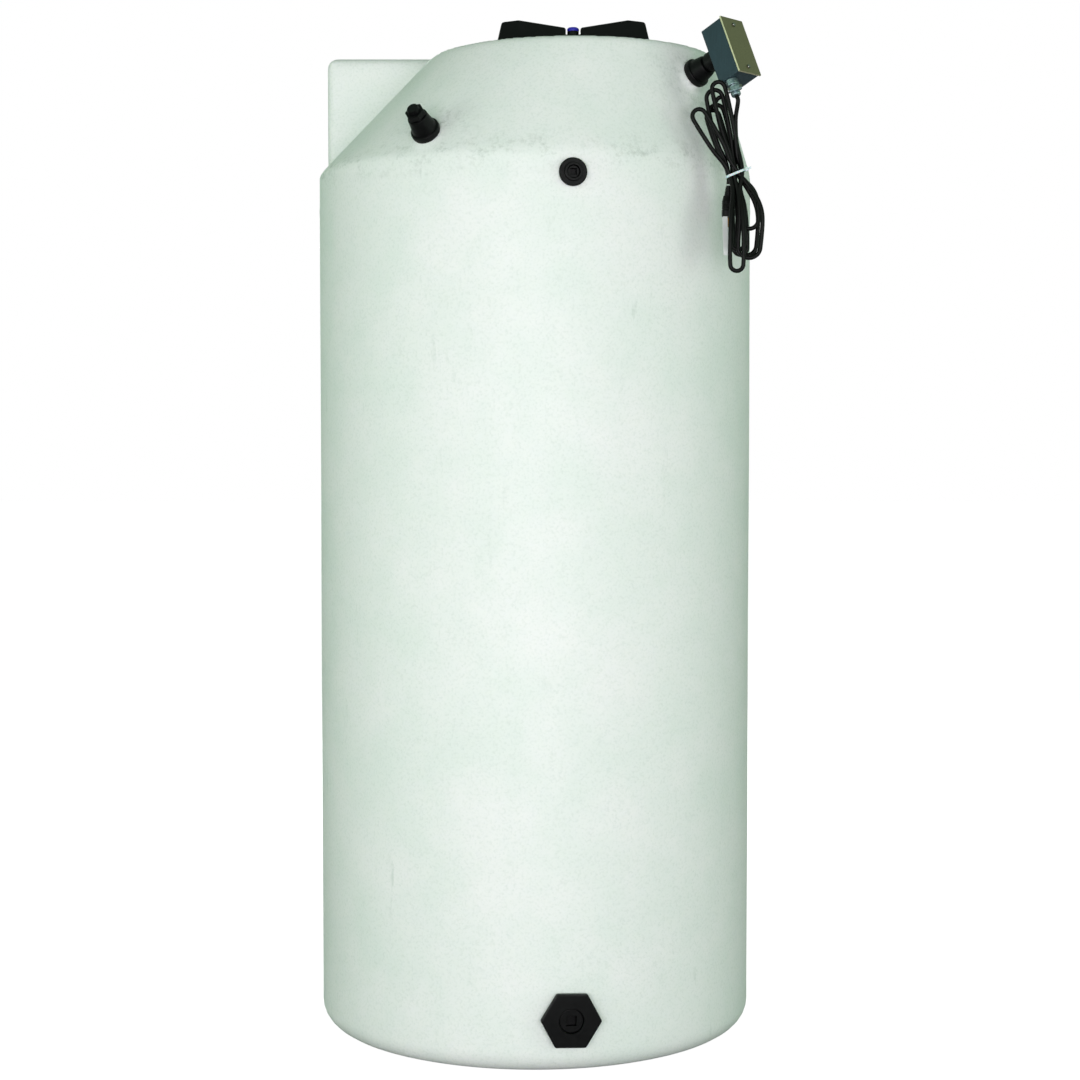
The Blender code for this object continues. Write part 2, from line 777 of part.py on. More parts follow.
def vent_port():
    """The spare shoulder port, closed by a hexagon-headed plug."""
    frame, depth = vent_port_frame()
    neck = shoulder_port("shoulder_port", frame, depth, VENT_NECK_HEIGHT)
    low = neck + GAP
    shank = SHOULDER_PORT["bore"] - SHANK_CLEARANCE
    plug = prism("shoulder_port_plug", 0.0195, 6, low, low + 0.014, BLACK_PLASTIC)
    soften(plug, 0.0015)
    tip = turned(
        "plug_tip",
        [(0.0, low + 0.022), (0.011, low + 0.022), (0.013, low + 0.012), (0.0, low + 0.012)],
        helper=True,
    )
    stem = turned(
        "plug_stem",
        [(0.0, low + 0.004), (shank, low + 0.004), (shank, low - 0.030), (0.0, low - 0.030)],
        helper=True,
    )
    for piece in (plug, tip, stem):
        place(piece, frame)
    join(plug, tip)
    join(plug, stem)
    return pad_and_bore("shoulder_port", frame, SHOULDER_PORT, depth)


# ---------------------------------------------------------------- heater


def box_frame():
    """The junction box's frame: origin in the middle of the back of the box, Z out of its cover
    and Y up its length."""
    port, _ = heater_port_frame()
    outward = port.to_3x3() @ Vector((0.0, 0.0, 1.0))
    uphill = port.to_3x3() @ Vector((0.0, 1.0, 0.0))
    up = Quaternion(outward, math.radians(BOX_ROLL)) @ uphill
    entry = frame_at(port @ Vector((0.0, 0.0, BOX_STANDOFF)), outward, up)
    return entry @ Matrix.Translation((0.0, -BOX_DROP, 0.0))


def heater_port():
    frame, depth = heater_port_frame()
    neck = shoulder_port("heater_port", frame, depth, HEATER_NECK_HEIGHT)
    hole, collar, low = NIPPLE_RADIUS + SHANK_CLEARANCE, BUSHING_GROOVE[0], neck + GAP
    bushing = [
        (hole, low),
        (collar, low),
        (collar, low + BUSHING_GROOVE[1]),
        (BUSHING_RADIUS, low + BUSHING_GROOVE[1]),
        (BUSHING_RADIUS, BOX_STANDOFF - GAP),
        (hole, BOX_STANDOFF - GAP),
    ]
    place(turned("heater_bushing", bushing, BLACK_PLASTIC, ring=True), frame)
    nipple = turned(
        "heater_nipple",
        tube_profile(NIPPLE_BORE, NIPPLE_RADIUS, -NIPPLE_INNER, BOX_STANDOFF + BOX_WALL + 0.010),
        ZINC,
        ring=True,
    )
    place(nipple, frame)
    return pad_and_bore("heater_port", frame, SHOULDER_PORT, depth)


def junction_box():
    """The open-fronted steel box, its cover and screws, its locknut and the thermostat in it."""
    frame = box_frame()
    at_nipple = frame @ Matrix.Translation((0.0, BOX_DROP, 0.0))
    front = BOX_DEPTH
    box = block("junction_box", (BOX_WIDTH, BOX_LENGTH, BOX_DEPTH), BOX_STEEL, 0.0012)
    place(box, Matrix.Translation((0.0, 0.0, front / 2)))
    inside = block(
        "box_inside",
        (BOX_WIDTH - 2 * BOX_WALL, BOX_LENGTH - 2 * BOX_WALL, BOX_DEPTH),
        helper=True,
    )
    place(inside, Matrix.Translation((0.0, 0.0, front / 2 + BOX_WALL)))
    entry = prism("box_entry", NIPPLE_RADIUS + SHANK_CLEARANCE, 24, -0.01, 0.01, helper=True)
    place(box, frame)
    place(inside, frame)
    place(entry, at_nipple)
    cut(box, inside)
    cut(box, entry)
    for side, end in ((1.0, "top"), (-1.0, "bottom")):
        reach = BOX_LENGTH / 2 - COVER_SCREW_REACH + EAR_WIDTH / 2
        ear = block(f"ear_{end}", (EAR_WIDTH, reach, EAR_THICKNESS), helper=True)
        middle = side * (BOX_LENGTH / 2 - 0.0005 - reach / 2)
        place(ear, frame @ Matrix.Translation((0.0, middle, front - EAR_THICKNESS / 2 - 0.0005)))
        join(box, ear)

    cover_low = front + GAP
    cover = block(
        "box_cover",
        (BOX_WIDTH + 2 * COVER_LIP, BOX_LENGTH + 2 * COVER_LIP, COVER_THICKNESS),
        COVER_STEEL,
        0.0012,
    )
    place(cover, frame @ Matrix.Translation((0.0, 0.0, cover_low + COVER_THICKNESS / 2)))
    shank, head, head_height = 0.0019, 0.0042, 0.0022
    top = cover_low + COVER_THICKNESS + GAP
    for k, side in enumerate((1.0, -1.0)):
        spot = frame @ Matrix.Translation((0.0, side * COVER_SCREW_REACH, 0.0))
        low = front - EAR_THICKNESS - 0.006
        profile = [
            (0.0, top + head_height),
            (head - 0.001, top + head_height),
            (head, top + 0.001),
            (head, top),
            (shank, top),
            (shank, low),
            (0.0, low),
        ]
        place(turned(f"cover_screw_{k + 1}", profile, STAINLESS, 16), spot)
        hole = prism(
            f"cover_screw_hole_{k + 1}",
            shank + SHANK_CLEARANCE,
            16,
            front - 0.012,
            top + 0.01,
            helper=True,
        )
        place(hole, spot)
        cut(cover, hole)
        cut(box, hole)

    nut = prism("box_locknut", NIPPLE_RADIUS + 0.006, 6, BOX_WALL + GAP, BOX_WALL + GAP + 0.004, ZINC)
    nut_hole = prism("locknut_hole", NIPPLE_RADIUS + SHANK_CLEARANCE, 24, 0.0, 0.02, helper=True)
    place(nut, at_nipple)
    place(nut_hole, at_nipple)
    cut(nut, nut_hole)

    thermostat = block("thermostat", (0.040, 0.026, 0.026), BLACK_PLASTIC, 0.002)
    place(thermostat, frame @ Matrix.Translation((0.0, -0.026, BOX_WALL + GAP + 0.013)))
    connector(box, frame)
    return frame


def connector_frame():
    """The cord connector's frame, on the outside of the box's lower end: Z points out of it."""
    frame = box_frame()
    spot = Vector((CONNECTOR_SIDE, -BOX_LENGTH / 2, CONNECTOR_HEIGHT))
    down = frame.to_3x3() @ Vector((0.0, -1.0, 0.0))
    outward = frame.to_3x3() @ Vector((0.0, 0.0, 1.0))
    turned_clamp = Matrix.Rotation(math.radians(CONNECTOR_TURN), 4, "Z")
    return frame_at(frame @ spot, down, outward) @ turned_clamp


def connector(box, frame):
    """The two-screw clamp connector in the lower end of the box."""
    local = connector_frame()
    stub = 0.0075
    inner = -BOX_WALL - 0.008
    profile = [
        (0.0, CONNECTOR_LENGTH),
        (0.0080, CONNECTOR_LENGTH),
        (0.0095, CONNECTOR_LENGTH - 0.002),
        (0.0095, 0.014),
        (CONNECTOR_RADIUS, 0.012),
        (CONNECTOR_RADIUS, GAP),
        (stub, GAP),
        (stub, inner),
        (0.0, inner),
    ]
    body = turned("cord_connector", profile, ZINC, 24)
    place(body, local)
    entry = prism("connector_entry", stub + SHANK_CLEARANCE, 24, -0.006, 0.006, helper=True)
    place(entry, local)
    cut(box, entry)
    nut_high = -BOX_WALL - GAP
    nut = prism("connector_locknut", stub + 0.004, 6, nut_high - 0.003, nut_high, ZINC)
    nut_hole = prism(
        "connector_locknut_hole",
        stub + SHANK_CLEARANCE,
        24,
        nut_high - 0.02,
        nut_high + 0.02,
        helper=True,
    )
    place(nut, local)
    place(nut_hole, local)
    cut(nut, nut_hole)
    bar = block("clamp_bar", (0.026, 0.006, 0.009), ZINC, 0.001)
    along = Matrix.Translation((0.0, 0.0095 + GAP + 0.003, CONNECTOR_LENGTH - 0.010))
    place(bar, local @ along)
    for k, side in enumerate((1.0, -1.0)):
        turn = Matrix.Translation(
            (side * 0.0113, 0.0095 + GAP + 0.006 + GAP, CONNECTOR_LENGTH - 0.010)
        ) @ Matrix.Rotation(math.radians(-90.0), 4, "X")
        profile = [
            (0.0, 0.0022),
            (0.0028, 0.0022),
            (0.0028, 0.0),
            (0.0014, 0.0),
            (0.0014, -0.0155),
            (0.0, -0.0155),
        ]
        place(turned(f"clamp_screw_{k + 1}", profile, STAINLESS, 12), local @ turn)
        hole = prism(f"clamp_screw_hole_{k + 1}", 0.0014 + SHANK_CLEARANCE, 12, -0.03, 0.01, helper=True)
        place(hole, local @ turn)
        cut(bar, hole)


def bent(corners, radius, steps=6):
    """Points along a line of straight runs whose corners are rounded in space."""
    points = [corners[0]]
    for before, here, after in zip(corners, corners[1:], corners[2:]):
        back, on = (before - here).normalized(), (after - here).normalized()
        half = back.angle(on) / 2
        centre = here + (back + on).normalized() * (radius / math.sin(half))
        reach = radius / math.tan(half)
        start, end = here + back * reach - centre, here + on * reach - centre
        points += [centre + start.slerp(end, k / steps) * radius for k in range(steps + 1)]
    return points + [corners[-1]]


def heater_inside():
    """The riser that hangs from the nipple, and the hairpin element on its lower end."""
    frame, _ = heater_port_frame()
    top = frame @ Vector((0.0, 0.0, BOX_STANDOFF + BOX_WALL + 0.014))
    turn = frame @ Vector((0.0, 0.0, -RISER_DROP - RISER_BEND))
    foot = Vector((turn.x, turn.y, ELEMENT_TOP))
    tube("heater_riser", bent([top, turn, foot], RISER_BEND), RISER_RADIUS, STAINLESS)
    head = block("element_head", (0.050, 0.022, 0.020), STAINLESS, 0.002)
    place(head, Matrix.Translation(foot - Vector((0.0, 0.0, GAP + 0.010))))
    start = foot.z - 2 * GAP - 0.020
    legs = [Vector((foot.x + side * ELEMENT_SPREAD, foot.y, start)) for side in (-1.0, 1.0)]
    low = ELEMENT_BOTTOM + ELEMENT_SPREAD
    turn_points = [
        Vector((foot.x - ELEMENT_SPREAD * math.cos(a), foot.y, low - ELEMENT_SPREAD * math.sin(a)))
        for a in (math.pi * k / 8 for k in range(9))
    ]
    tube("heater_element", [legs[0], *turn_points, legs[1]], ELEMENT_RADIUS, STAINLESS)


# ---------------------------------------------------------------- cord


def smooth_route(route, spacing):
    """Points about spacing apart on a smooth curve through the route's own points."""
    ends = [route[0] * 2 - route[1], *route, route[-1] * 2 - route[-2]]
    points = []
    for a, b, c, d in zip(ends, ends[1:], ends[2:], ends[3:]):
        count = max(1, round((c - b).length / spacing))
        for k in range(count):
            t = k / count
            points.append(
                0.5
                * (
                    2 * b
                    + (c - a) * t
                    + (2 * a - 5 * b + 4 * c - d) * t**2
                    + (3 * b - a - 3 * c + d) * t**3
                )
            )
    return points + [route[-1]]


HANK_OUTLINE = [
    (-0.0143, -0.0136), (-0.0195, -0.040), (-0.0170, -0.090), (-0.0170, -0.150), (-0.0200, -0.172),
    (-0.0180, -0.186), (-0.0110, -0.194), (-0.0030, -0.191), (0.0080, -0.182), (0.0260, -0.168),
    (0.0420, -0.142), (0.0520, -0.112), (0.0550, -0.084), (0.0510, -0.060), (0.0400, -0.036),
    (0.0197, 0.0008), (0.0143, 0.0136), (-0.0030, 0.0600), (-0.0150, 0.0630), (-0.0155, 0.1150),
    (-0.0190, 0.1450), (-0.0270, 0.1580), (-0.0390, 0.1640), (-0.0500, 0.1560), (-0.0590, 0.1340),
    (-0.0620, 0.1080), (-0.0550, 0.0700), (-0.0370, 0.0280), (-0.0197, -0.0008),
]


def hank_frame():
    """The hank's outline lies in the upright XZ plane through its centre."""
    return Matrix.Translation(HANK_CENTRE) @ Matrix.Rotation(math.radians(90.0), 4, "X")


def cord():
    """The lead from the connector, the tied hank, its tie, and the plug and tag on its end."""
    leaving = connector_frame()
    start = leaving @ Vector((0.0, 0.0, CONNECTOR_LENGTH + GAP))
    route = [
        start,
        leaving @ Vector((0.0, 0.0, CONNECTOR_LENGTH + 0.012)),
        HANK_CENTRE + Vector((-0.0005, -0.0050, 0.1080)),
        HANK_CENTRE + Vector((0.0000, 0.0, 0.0840)),
        HANK_CENTRE + Vector((0.0017, 0.0, 0.0605)),
    ]
    tube("cord_lead", smooth_route(route, 2.2 * CORD_DIAMETER), CORD_DIAMETER / 2, CORD_JACKET)
    hank = flat_piece("cord_hank", [HANK_OUTLINE], HANK_THICKNESS / 2, CORD_JACKET)
    place(hank, hank_frame())

    across, deep = TIE_INNER
    wide, thick = across + TIE_WALL, deep + TIE_WALL
    lock = 0.0045
    outer = [
        (-wide, -thick),
        (wide, -thick),
        (wide, -lock),
        (wide + 0.006, -lock),
        (wide + 0.006, lock),
        (wide, lock),
        (wide, thick),
        (-wide, thick),
    ]
    inner = [(-across, -deep), (across, -deep), (across, deep), (-across, deep)]
    tie = flat_piece("cord_tie", [outer, inner], TIE_BAND / 2, NYLON)
    place(tie, Matrix.Translation(HANK_CENTRE) @ Matrix.Rotation(math.radians(-TIE_TILT), 4, "Y"))

    middle = HANK_CENTRE + PLUG_CENTRE
    wide, deep, tall = PLUG_BODY
    body = block("cord_plug", PLUG_BODY, BLACK_PLASTIC, 0.003)
    place(body, Matrix.Translation(middle))
    relief = turned(
        "plug_relief",
        [(0.0, 0.018), (0.0055, 0.018), (0.0085, -0.002), (0.0, -0.002)],
        steps=16,
        helper=True,
    )
    place(relief, Matrix.Translation(middle + Vector((0.0, 0.0, tall / 2))))
    join(body, relief)
    face = middle - Vector((0.0, 0.0, tall / 2 + GAP))
    for k, side in enumerate((-1.0, 1.0)):
        blade = block(f"plug_blade_{k + 1}", BLADE, BRASS)
        place(blade, Matrix.Translation(face + Vector((side * BLADE_SPACING / 2, -0.003, -BLADE[2] / 2))))
    pin = prism("plug_ground_pin", PIN_RADIUS, 12, -0.019, 0.0, BRASS)
    place(pin, Matrix.Translation(face + Vector((0.0, 0.0085, 0.0))))
    tag = block("cord_tag", TAG, PAPER)
    place(tag, Matrix.Translation(face + Vector((-0.0075, -0.0100, -TAG[2] / 2))))


# ---------------------------------------------------------------- assembly


def build():
    fittings = [outlet(), front_port(), vent_port(), heater_port()]
    ring_holes = manway()
    pads = [pad for pad, _ in fittings]
    bores = [bore for _, bore in fittings]
    tank_shell(pads, bores + ring_holes)
    junction_box()
    heater_inside()
    cord()


build()
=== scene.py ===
"""The finished look of a bulk milk tank, built around its fixed frame of parts."""

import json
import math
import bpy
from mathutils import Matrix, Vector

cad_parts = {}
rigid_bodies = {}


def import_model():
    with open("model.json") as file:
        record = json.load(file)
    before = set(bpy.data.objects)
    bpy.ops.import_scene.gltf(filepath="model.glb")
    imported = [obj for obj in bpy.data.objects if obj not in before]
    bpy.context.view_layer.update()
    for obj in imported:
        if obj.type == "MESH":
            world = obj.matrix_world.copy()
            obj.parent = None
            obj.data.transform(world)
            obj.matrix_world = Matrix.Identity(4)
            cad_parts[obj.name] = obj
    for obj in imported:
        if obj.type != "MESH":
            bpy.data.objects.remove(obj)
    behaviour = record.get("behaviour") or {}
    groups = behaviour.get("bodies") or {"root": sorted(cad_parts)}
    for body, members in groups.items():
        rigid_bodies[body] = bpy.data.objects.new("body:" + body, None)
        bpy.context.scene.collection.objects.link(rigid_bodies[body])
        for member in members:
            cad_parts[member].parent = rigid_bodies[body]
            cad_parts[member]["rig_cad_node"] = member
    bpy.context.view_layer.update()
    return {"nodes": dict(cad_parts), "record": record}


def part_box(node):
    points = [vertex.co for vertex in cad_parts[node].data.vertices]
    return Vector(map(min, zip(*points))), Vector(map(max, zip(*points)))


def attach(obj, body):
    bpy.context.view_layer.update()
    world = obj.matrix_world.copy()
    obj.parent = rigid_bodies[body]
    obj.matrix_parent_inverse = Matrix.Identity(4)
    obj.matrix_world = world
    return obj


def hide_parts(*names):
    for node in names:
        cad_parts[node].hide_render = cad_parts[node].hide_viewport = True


bl_info = {
    "name": "Bulk Milk Tank",
    "version": (1, 0, 0),
    "blender": (4, 5, 0),
    "location": "3D View > Sidebar > Milk Tank",
    "description": "Builds the shell, lid, fittings, heater box, cord and stage of a bulk milk tank",
    "category": "Add Mesh",
}

import bmesh
import bpy
import numpy as np
from bpy.props import FloatProperty, FloatVectorProperty, IntProperty, PointerProperty, StringProperty
from bpy.types import Operator, Panel, PropertyGroup
from mathutils import Matrix, Vector

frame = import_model()

SHELL_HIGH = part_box("tank_shell")[1]
LID_LOW, LID_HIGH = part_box("manway_lid")
RING_LOW, RING_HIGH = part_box("manway_ring")
MM = 0.001


# ---------------------------------------------------------------- sizes and colours


class TankSizes(PropertyGroup):
    """The sizes that shape the moulded shell and what hangs from it."""

    body_radius: FloatProperty(
        name="Body radius",
        description="Outside radius of the straight wall",
        default=SHELL_HIGH.x,
        unit="LENGTH",
    )
    wall: FloatProperty(name="Wall", description="Thickness of the moulding", default=0.008, unit="LENGTH")
    shoulder_height: FloatProperty(
        name="Shoulder height", description="Where the straight wall ends", default=1.770, unit="LENGTH"
    )
    top_height: FloatProperty(
        name="Top height", description="Height of the flat top", default=2.004, unit="LENGTH"
    )
    top_radius: FloatProperty(
        name="Top radius", description="Radius of the flat top", default=0.295, unit="LENGTH"
    )
    top_shift: FloatVectorProperty(
        name="Top shift",
        description="How far the flat top stands off the axis",
        default=(0.079, -0.050, 0.0),
        subtype="TRANSLATION",
        unit="LENGTH",
    )
    base_edge: FloatProperty(
        name="Base edge", description="Rounding at the base", default=0.046, unit="LENGTH"
    )
    shoulder_edge: FloatProperty(
        name="Shoulder edge", description="Rounding of the shoulder line", default=0.022, unit="LENGTH"
    )
    top_edge: FloatProperty(
        name="Top edge", description="Rounding of the top rim", default=0.014, unit="LENGTH"
    )
    deck_radius: FloatProperty(
        name="Deck radius", description="Outside radius of the deck", default=0.4385, unit="LENGTH"
    )
    deck_front: FloatProperty(
        name="Deck front", description="Place of its front wall along Y", default=0.010, unit="LENGTH"
    )
    deck_end: FloatProperty(
        name="Deck end", description="Place of its end wall along X", default=0.020, unit="LENGTH"
    )
    deck_edge: FloatProperty(
        name="Deck edge", description="Rounding of the deck", default=0.018, unit="LENGTH"
    )
    parting_height: FloatProperty(
        name="Parting line", description="Height of the mould's parting line", default=1.696, unit="LENGTH"
    )
    cord_diameter: FloatProperty(
        name="Cord", description="Diameter of the cord", default=0.0085, unit="LENGTH"
    )
    rim_grips: IntProperty(name="Rim grips", description="Grip ribs round the lid's rim", default=60)


class TankColours(PropertyGroup):
    """The colours, as sRGB hex values."""

    shell: StringProperty(name="Shell", description="Natural polyethylene", default="F6F7F6")
    shell_shade: StringProperty(name="Shell shade", description="Its cloudier patches", default="EDF3EF")
    scuff: StringProperty(name="Scuff", description="Rubbed and dusty marks", default="B4C2B9")
    # This colour is painted shade along the shoulder crease and round the upper fittings, as well as dirt.
    crease_shade_and_dirt: StringProperty(name="Grime", description="Handling marks on the shell", default="8E9A8F")
    black: StringProperty(name="Black", description="Black polypropylene", default="040405")
    black_worn: StringProperty(name="Worn black", description="Its dusty places", default="0C0D0E")
    blue: StringProperty(name="Blue", description="Vent cap", default="2A1CC8")
    box: StringProperty(name="Box", description="Heater box steel", default="283D48")
    cover: StringProperty(name="Cover", description="Brushed cover", default="93886A")
    zinc: StringProperty(name="Zinc", description="Zinc fittings", default="7C9299")
    steel: StringProperty(name="Steel", description="Stainless screws", default="85867F")
    nylon: StringProperty(name="Nylon", description="Cable tie", default="DCEAEC")
    brass: StringProperty(name="Brass", description="Plug blades", default="C9A45C")
    paper: StringProperty(name="Tag", description="Blank tag", default="F4F6F6")


def sizes():
    return bpy.context.scene.tank_sizes


def colours():
    return bpy.context.scene.tank_colours


# ---------------------------------------------------------------- shape tools


def mesh_object(name, mesh):
    """A new object in the scene that holds the mesh."""
    made = bpy.data.objects.new(name, mesh)
    bpy.context.scene.collection.objects.link(made)
    return made


def shape(name, vertices, faces):
    """A new object from vertices and faces."""
    mesh = bpy.data.meshes.new(name)
    mesh.from_pydata([tuple(v) for v in vertices], [], faces)
    mesh.update()
    return mesh_object(name, mesh)


def settled(piece):
    """Applies the piece's modifiers."""
    bpy.context.view_layer.update()
    seen = piece.evaluated_get(bpy.context.evaluated_depsgraph_get())
    mesh = bpy.data.meshes.new_from_object(seen)
    piece.modifiers.clear()
    piece.data = mesh
    return piece


def absorb(piece, *others):
    """Joins others into piece, as loose bodies of one mesh."""
    work = bmesh.new()
    work.from_mesh(piece.data)
    for other in others:
        other.data.transform(other.matrix_world)
        work.from_mesh(other.data)
        bpy.data.objects.remove(other)
    work.to_mesh(piece.data)
    work.free()
    return piece


def smooth(piece, angle=32.0):
    """Smooth shading that keeps edges sharper than angle degrees and lets the larger faces stay flat."""
    piece.data.shade_smooth()
    piece.data.set_sharp_from_angle(angle=math.radians(angle))
    weigh = piece.modifiers.new("flat faces", "WEIGHTED_NORMAL")
    weigh.keep_sharp = True
    weigh.weight = 100
    return settled(piece)


def arcs(corners, steps=5):
    """A polyline through (x, y, radius) corners, each one with a radius turned into an arc."""
    points = []
    for i, (x, y, radius) in enumerate(corners):
        here = Vector((x, y))
        if radius == 0.0:
            points.append(tuple(here))
            continue
        before = (Vector(corners[i - 1][:2]) - here).normalized()
        after = (Vector(corners[(i + 1) % len(corners)][:2]) - here).normalized()
        half = before.angle(after) / 2
        centre = here + (before + after).normalized() * (radius / math.sin(half))
        reach = radius / math.tan(half)
        start, end = here + before * reach - centre, here + after * reach - centre
        for k in range(steps + 1):
            points.append(tuple(centre + start.slerp(end, k / steps).normalized() * radius))
    return points


def turned(name, profile, steps, place=None, closed=False):
    """A solid of revolution about Z from (radius, height) points, run down its outer side."""
    vertices, rings = [], []
    for radius, height in profile:
        if radius < 1e-6:
            rings.append([len(vertices)] * steps)
            vertices.append((0.0, 0.0, height))
            continue
        rings.append(list(range(len(vertices), len(vertices) + steps)))
        for k in range(steps):
            turn = 2 * math.pi * k / steps
            vertices.append((radius * math.cos(turn), radius * math.sin(turn), height))
    faces = []
    for upper, lower in zip(rings, rings[1:] + rings[:1] if closed else rings[1:]):
        for k in range(steps):
            n = (k + 1) % steps
            face = []
            for index in (upper[k], lower[k], lower[n], upper[n]):
                if index not in face:
                    face.append(index)
            if len(face) > 2:
                faces.append(face)
    piece = shape(name, vertices, faces)
    if place is not None:
        piece.data.transform(place)
    return piece


def slab(name, outline, low, high):
    """An upright block: outline drawn in XY, from low to high."""
    count = len(outline)
    vertices = [(x, y, low) for x, y in outline] + [(x, y, high) for x, y in outline]
    faces = [list(range(count))[::-1], list(range(count, 2 * count))]
    faces += [[k, (k + 1) % count, (k + 1) % count + count, k + count] for k in range(count)]
    return shape(name, vertices, faces)


def bevelled(piece, width, segments=2, angle=30.0):
    """Rounds the edges that turn by more than angle degrees."""
    bevel = piece.modifiers.new("rounded edges", "BEVEL")
    bevel.width = width
    bevel.segments = segments
    bevel.limit_method = "ANGLE"
    bevel.angle_limit = math.radians(angle)
    return settled(piece)


def carved(piece, cutter):
    """Cuts cutter's shape out of piece."""
    work = piece.modifiers.new("cut", "BOOLEAN")
    work.operation = "DIFFERENCE"
    work.solver = "EXACT"
    work.object = cutter
    settled(piece)
    bpy.data.objects.remove(cutter)
    return piece


def seat_of(gasket):
    """Where a fitting is seated, from its flat ring gasket: its thinnest way is the fitting's axis."""
    points = np.array([v.co for v in frame["nodes"][gasket].data.vertices])
    middle = (points.min(0) + points.max(0)) / 2
    for _ in range(2):
        spread = points - middle
        axis = np.linalg.eigh(spread.T @ spread)[1][:, 0]
        outward = np.array([middle[0], middle[1], 0.15])
        if axis @ outward < 0:
            axis = -axis
        flat = spread - np.outer(spread @ axis, axis)
        far = np.linalg.norm(flat, axis=1)
        rim = far > 0.9 * far.max()
        middle = middle + flat[rim].mean(0)
    spread = points - middle
    along = spread @ axis
    far = np.linalg.norm(spread - np.outer(along, axis), axis=1)
    made = {"middle": Vector(middle), "axis": Vector(axis)}
    made.update(radius=float(far.max()), bore=float(far.min()))
    made["face"] = made["middle"] + made["axis"] * float(along.min())
    return made


def facing(origin, axis):
    """A frame at origin whose Z is axis."""
    return Matrix.Translation(origin) @ axis.to_track_quat("Z", "Y").to_matrix().to_4x4()


# ---------------------------------------------------------------- material tools


def linear(text, level=1.0):
    """An sRGB hex colour as linear RGBA, its light scaled to level."""
    channels = [int(text[k : k + 2], 16) / 255 for k in (0, 2, 4)]
    light = [c / 12.92 if c <= 0.04045 else ((c + 0.055) / 1.055) ** 2.4 for c in channels]
    return (*[level * c for c in light], 1.0)


def add(tree, kind, inputs=(), **settings):
    """Adds a node, with its settings and with its inputs as values or as sockets to link."""
    made = tree.nodes.new(kind)
    for name, value in settings.items():
        setattr(made, name, value)
    for name, value in dict(inputs).items():
        if isinstance(value, bpy.types.NodeSocket):
            tree.links.new(value, made.inputs[name])
        else:
            made.inputs[name].default_value = value
    return made


def finish(name, **sockets):
    """A material with one Principled shader, and its tree, shader and object coordinates."""
    made = bpy.data.materials.new(name)
    made.use_nodes = True
    tree = made.node_tree
    shader = tree.nodes["Principled BSDF"]
    for socket, value in sockets.items():
        shader.inputs[socket.replace("_", " ").title().replace("Ior", "IOR")].default_value = value
    place = add(tree, "ShaderNodeTexCoord").outputs["Object"]
    return made, tree, shader, place


def patches(tree, place, size, detail, roughness, *spans, stretch=None):
    """A noise pattern with patches about size metres across, as it is and then spread over each span.

    A span is (low, high, least, most): noise from low to high becomes a share from least to most.
    """
    if stretch is not None:
        place = add(tree, "ShaderNodeMapping", {"Vector": place, "Scale": stretch}).outputs["Vector"]
    inputs = {"Vector": place, "Scale": 1.0 / size, "Detail": detail, "Roughness": roughness}
    noise = add(tree, "ShaderNodeTexNoise", inputs).outputs["Fac"]
    made = [noise]
    for low, high, least, most in spans:
        inputs = {"Value": noise, "From Min": low, "From Max": high, "To Min": least, "To Max": most}
        made.append(add(tree, "ShaderNodeMapRange", inputs).outputs["Result"])
    return made


def layered(tree, base, *layers):
    """A base colour with more laid over it, each as (share, colour)."""
    seen = base
    for share, colour in layers:
        seen = add(tree, "ShaderNodeMix", {0: share, 6: seen, 7: colour}, data_type="RGBA").outputs[2]
    return seen


def surface(tree, shader, colour, dull, *reliefs):
    """Feeds a shader its colour, its roughness if that varies, and its reliefs.

    A relief is (height, depth in metres, strength), and each one lies on the one before it.
    """
    tree.links.new(colour, shader.inputs["Base Color"])
    if dull is not None:
        tree.links.new(dull, shader.inputs["Roughness"])
    below = {}
    for height, depth, strength in reliefs:
        inputs = {"Height": height, "Distance": depth, "Strength": strength, **below}
        below = {"Normal": add(tree, "ShaderNodeBump", inputs).outputs["Normal"]}
    for socket, normal in below.items():
        tree.links.new(normal, shader.inputs[socket])


def mottled(name, first, second, patch, skin, **sockets):
    """A finish that drifts from one colour to a second in patches, with a fine bumpy skin."""
    made, tree, shader, place = finish(name, **sockets)
    _, share = patches(tree, place, *patch)
    size, detail, depth, strength = skin
    [bumps] = patches(tree, place, size, detail, 0.5)
    body = layered(tree, linear(first), (share, linear(second)))
    surface(tree, shader, body, None, (bumps, depth, strength))
    return made


# ---------------------------------------------------------------- finishes


SHADE_BAND = (0.004, 0.050)  # painted shade and dirt fade between these distances from the shoulder line
SHADE_RING = (0.035, 0.130)  # and between these from the middle of a fitting's seat


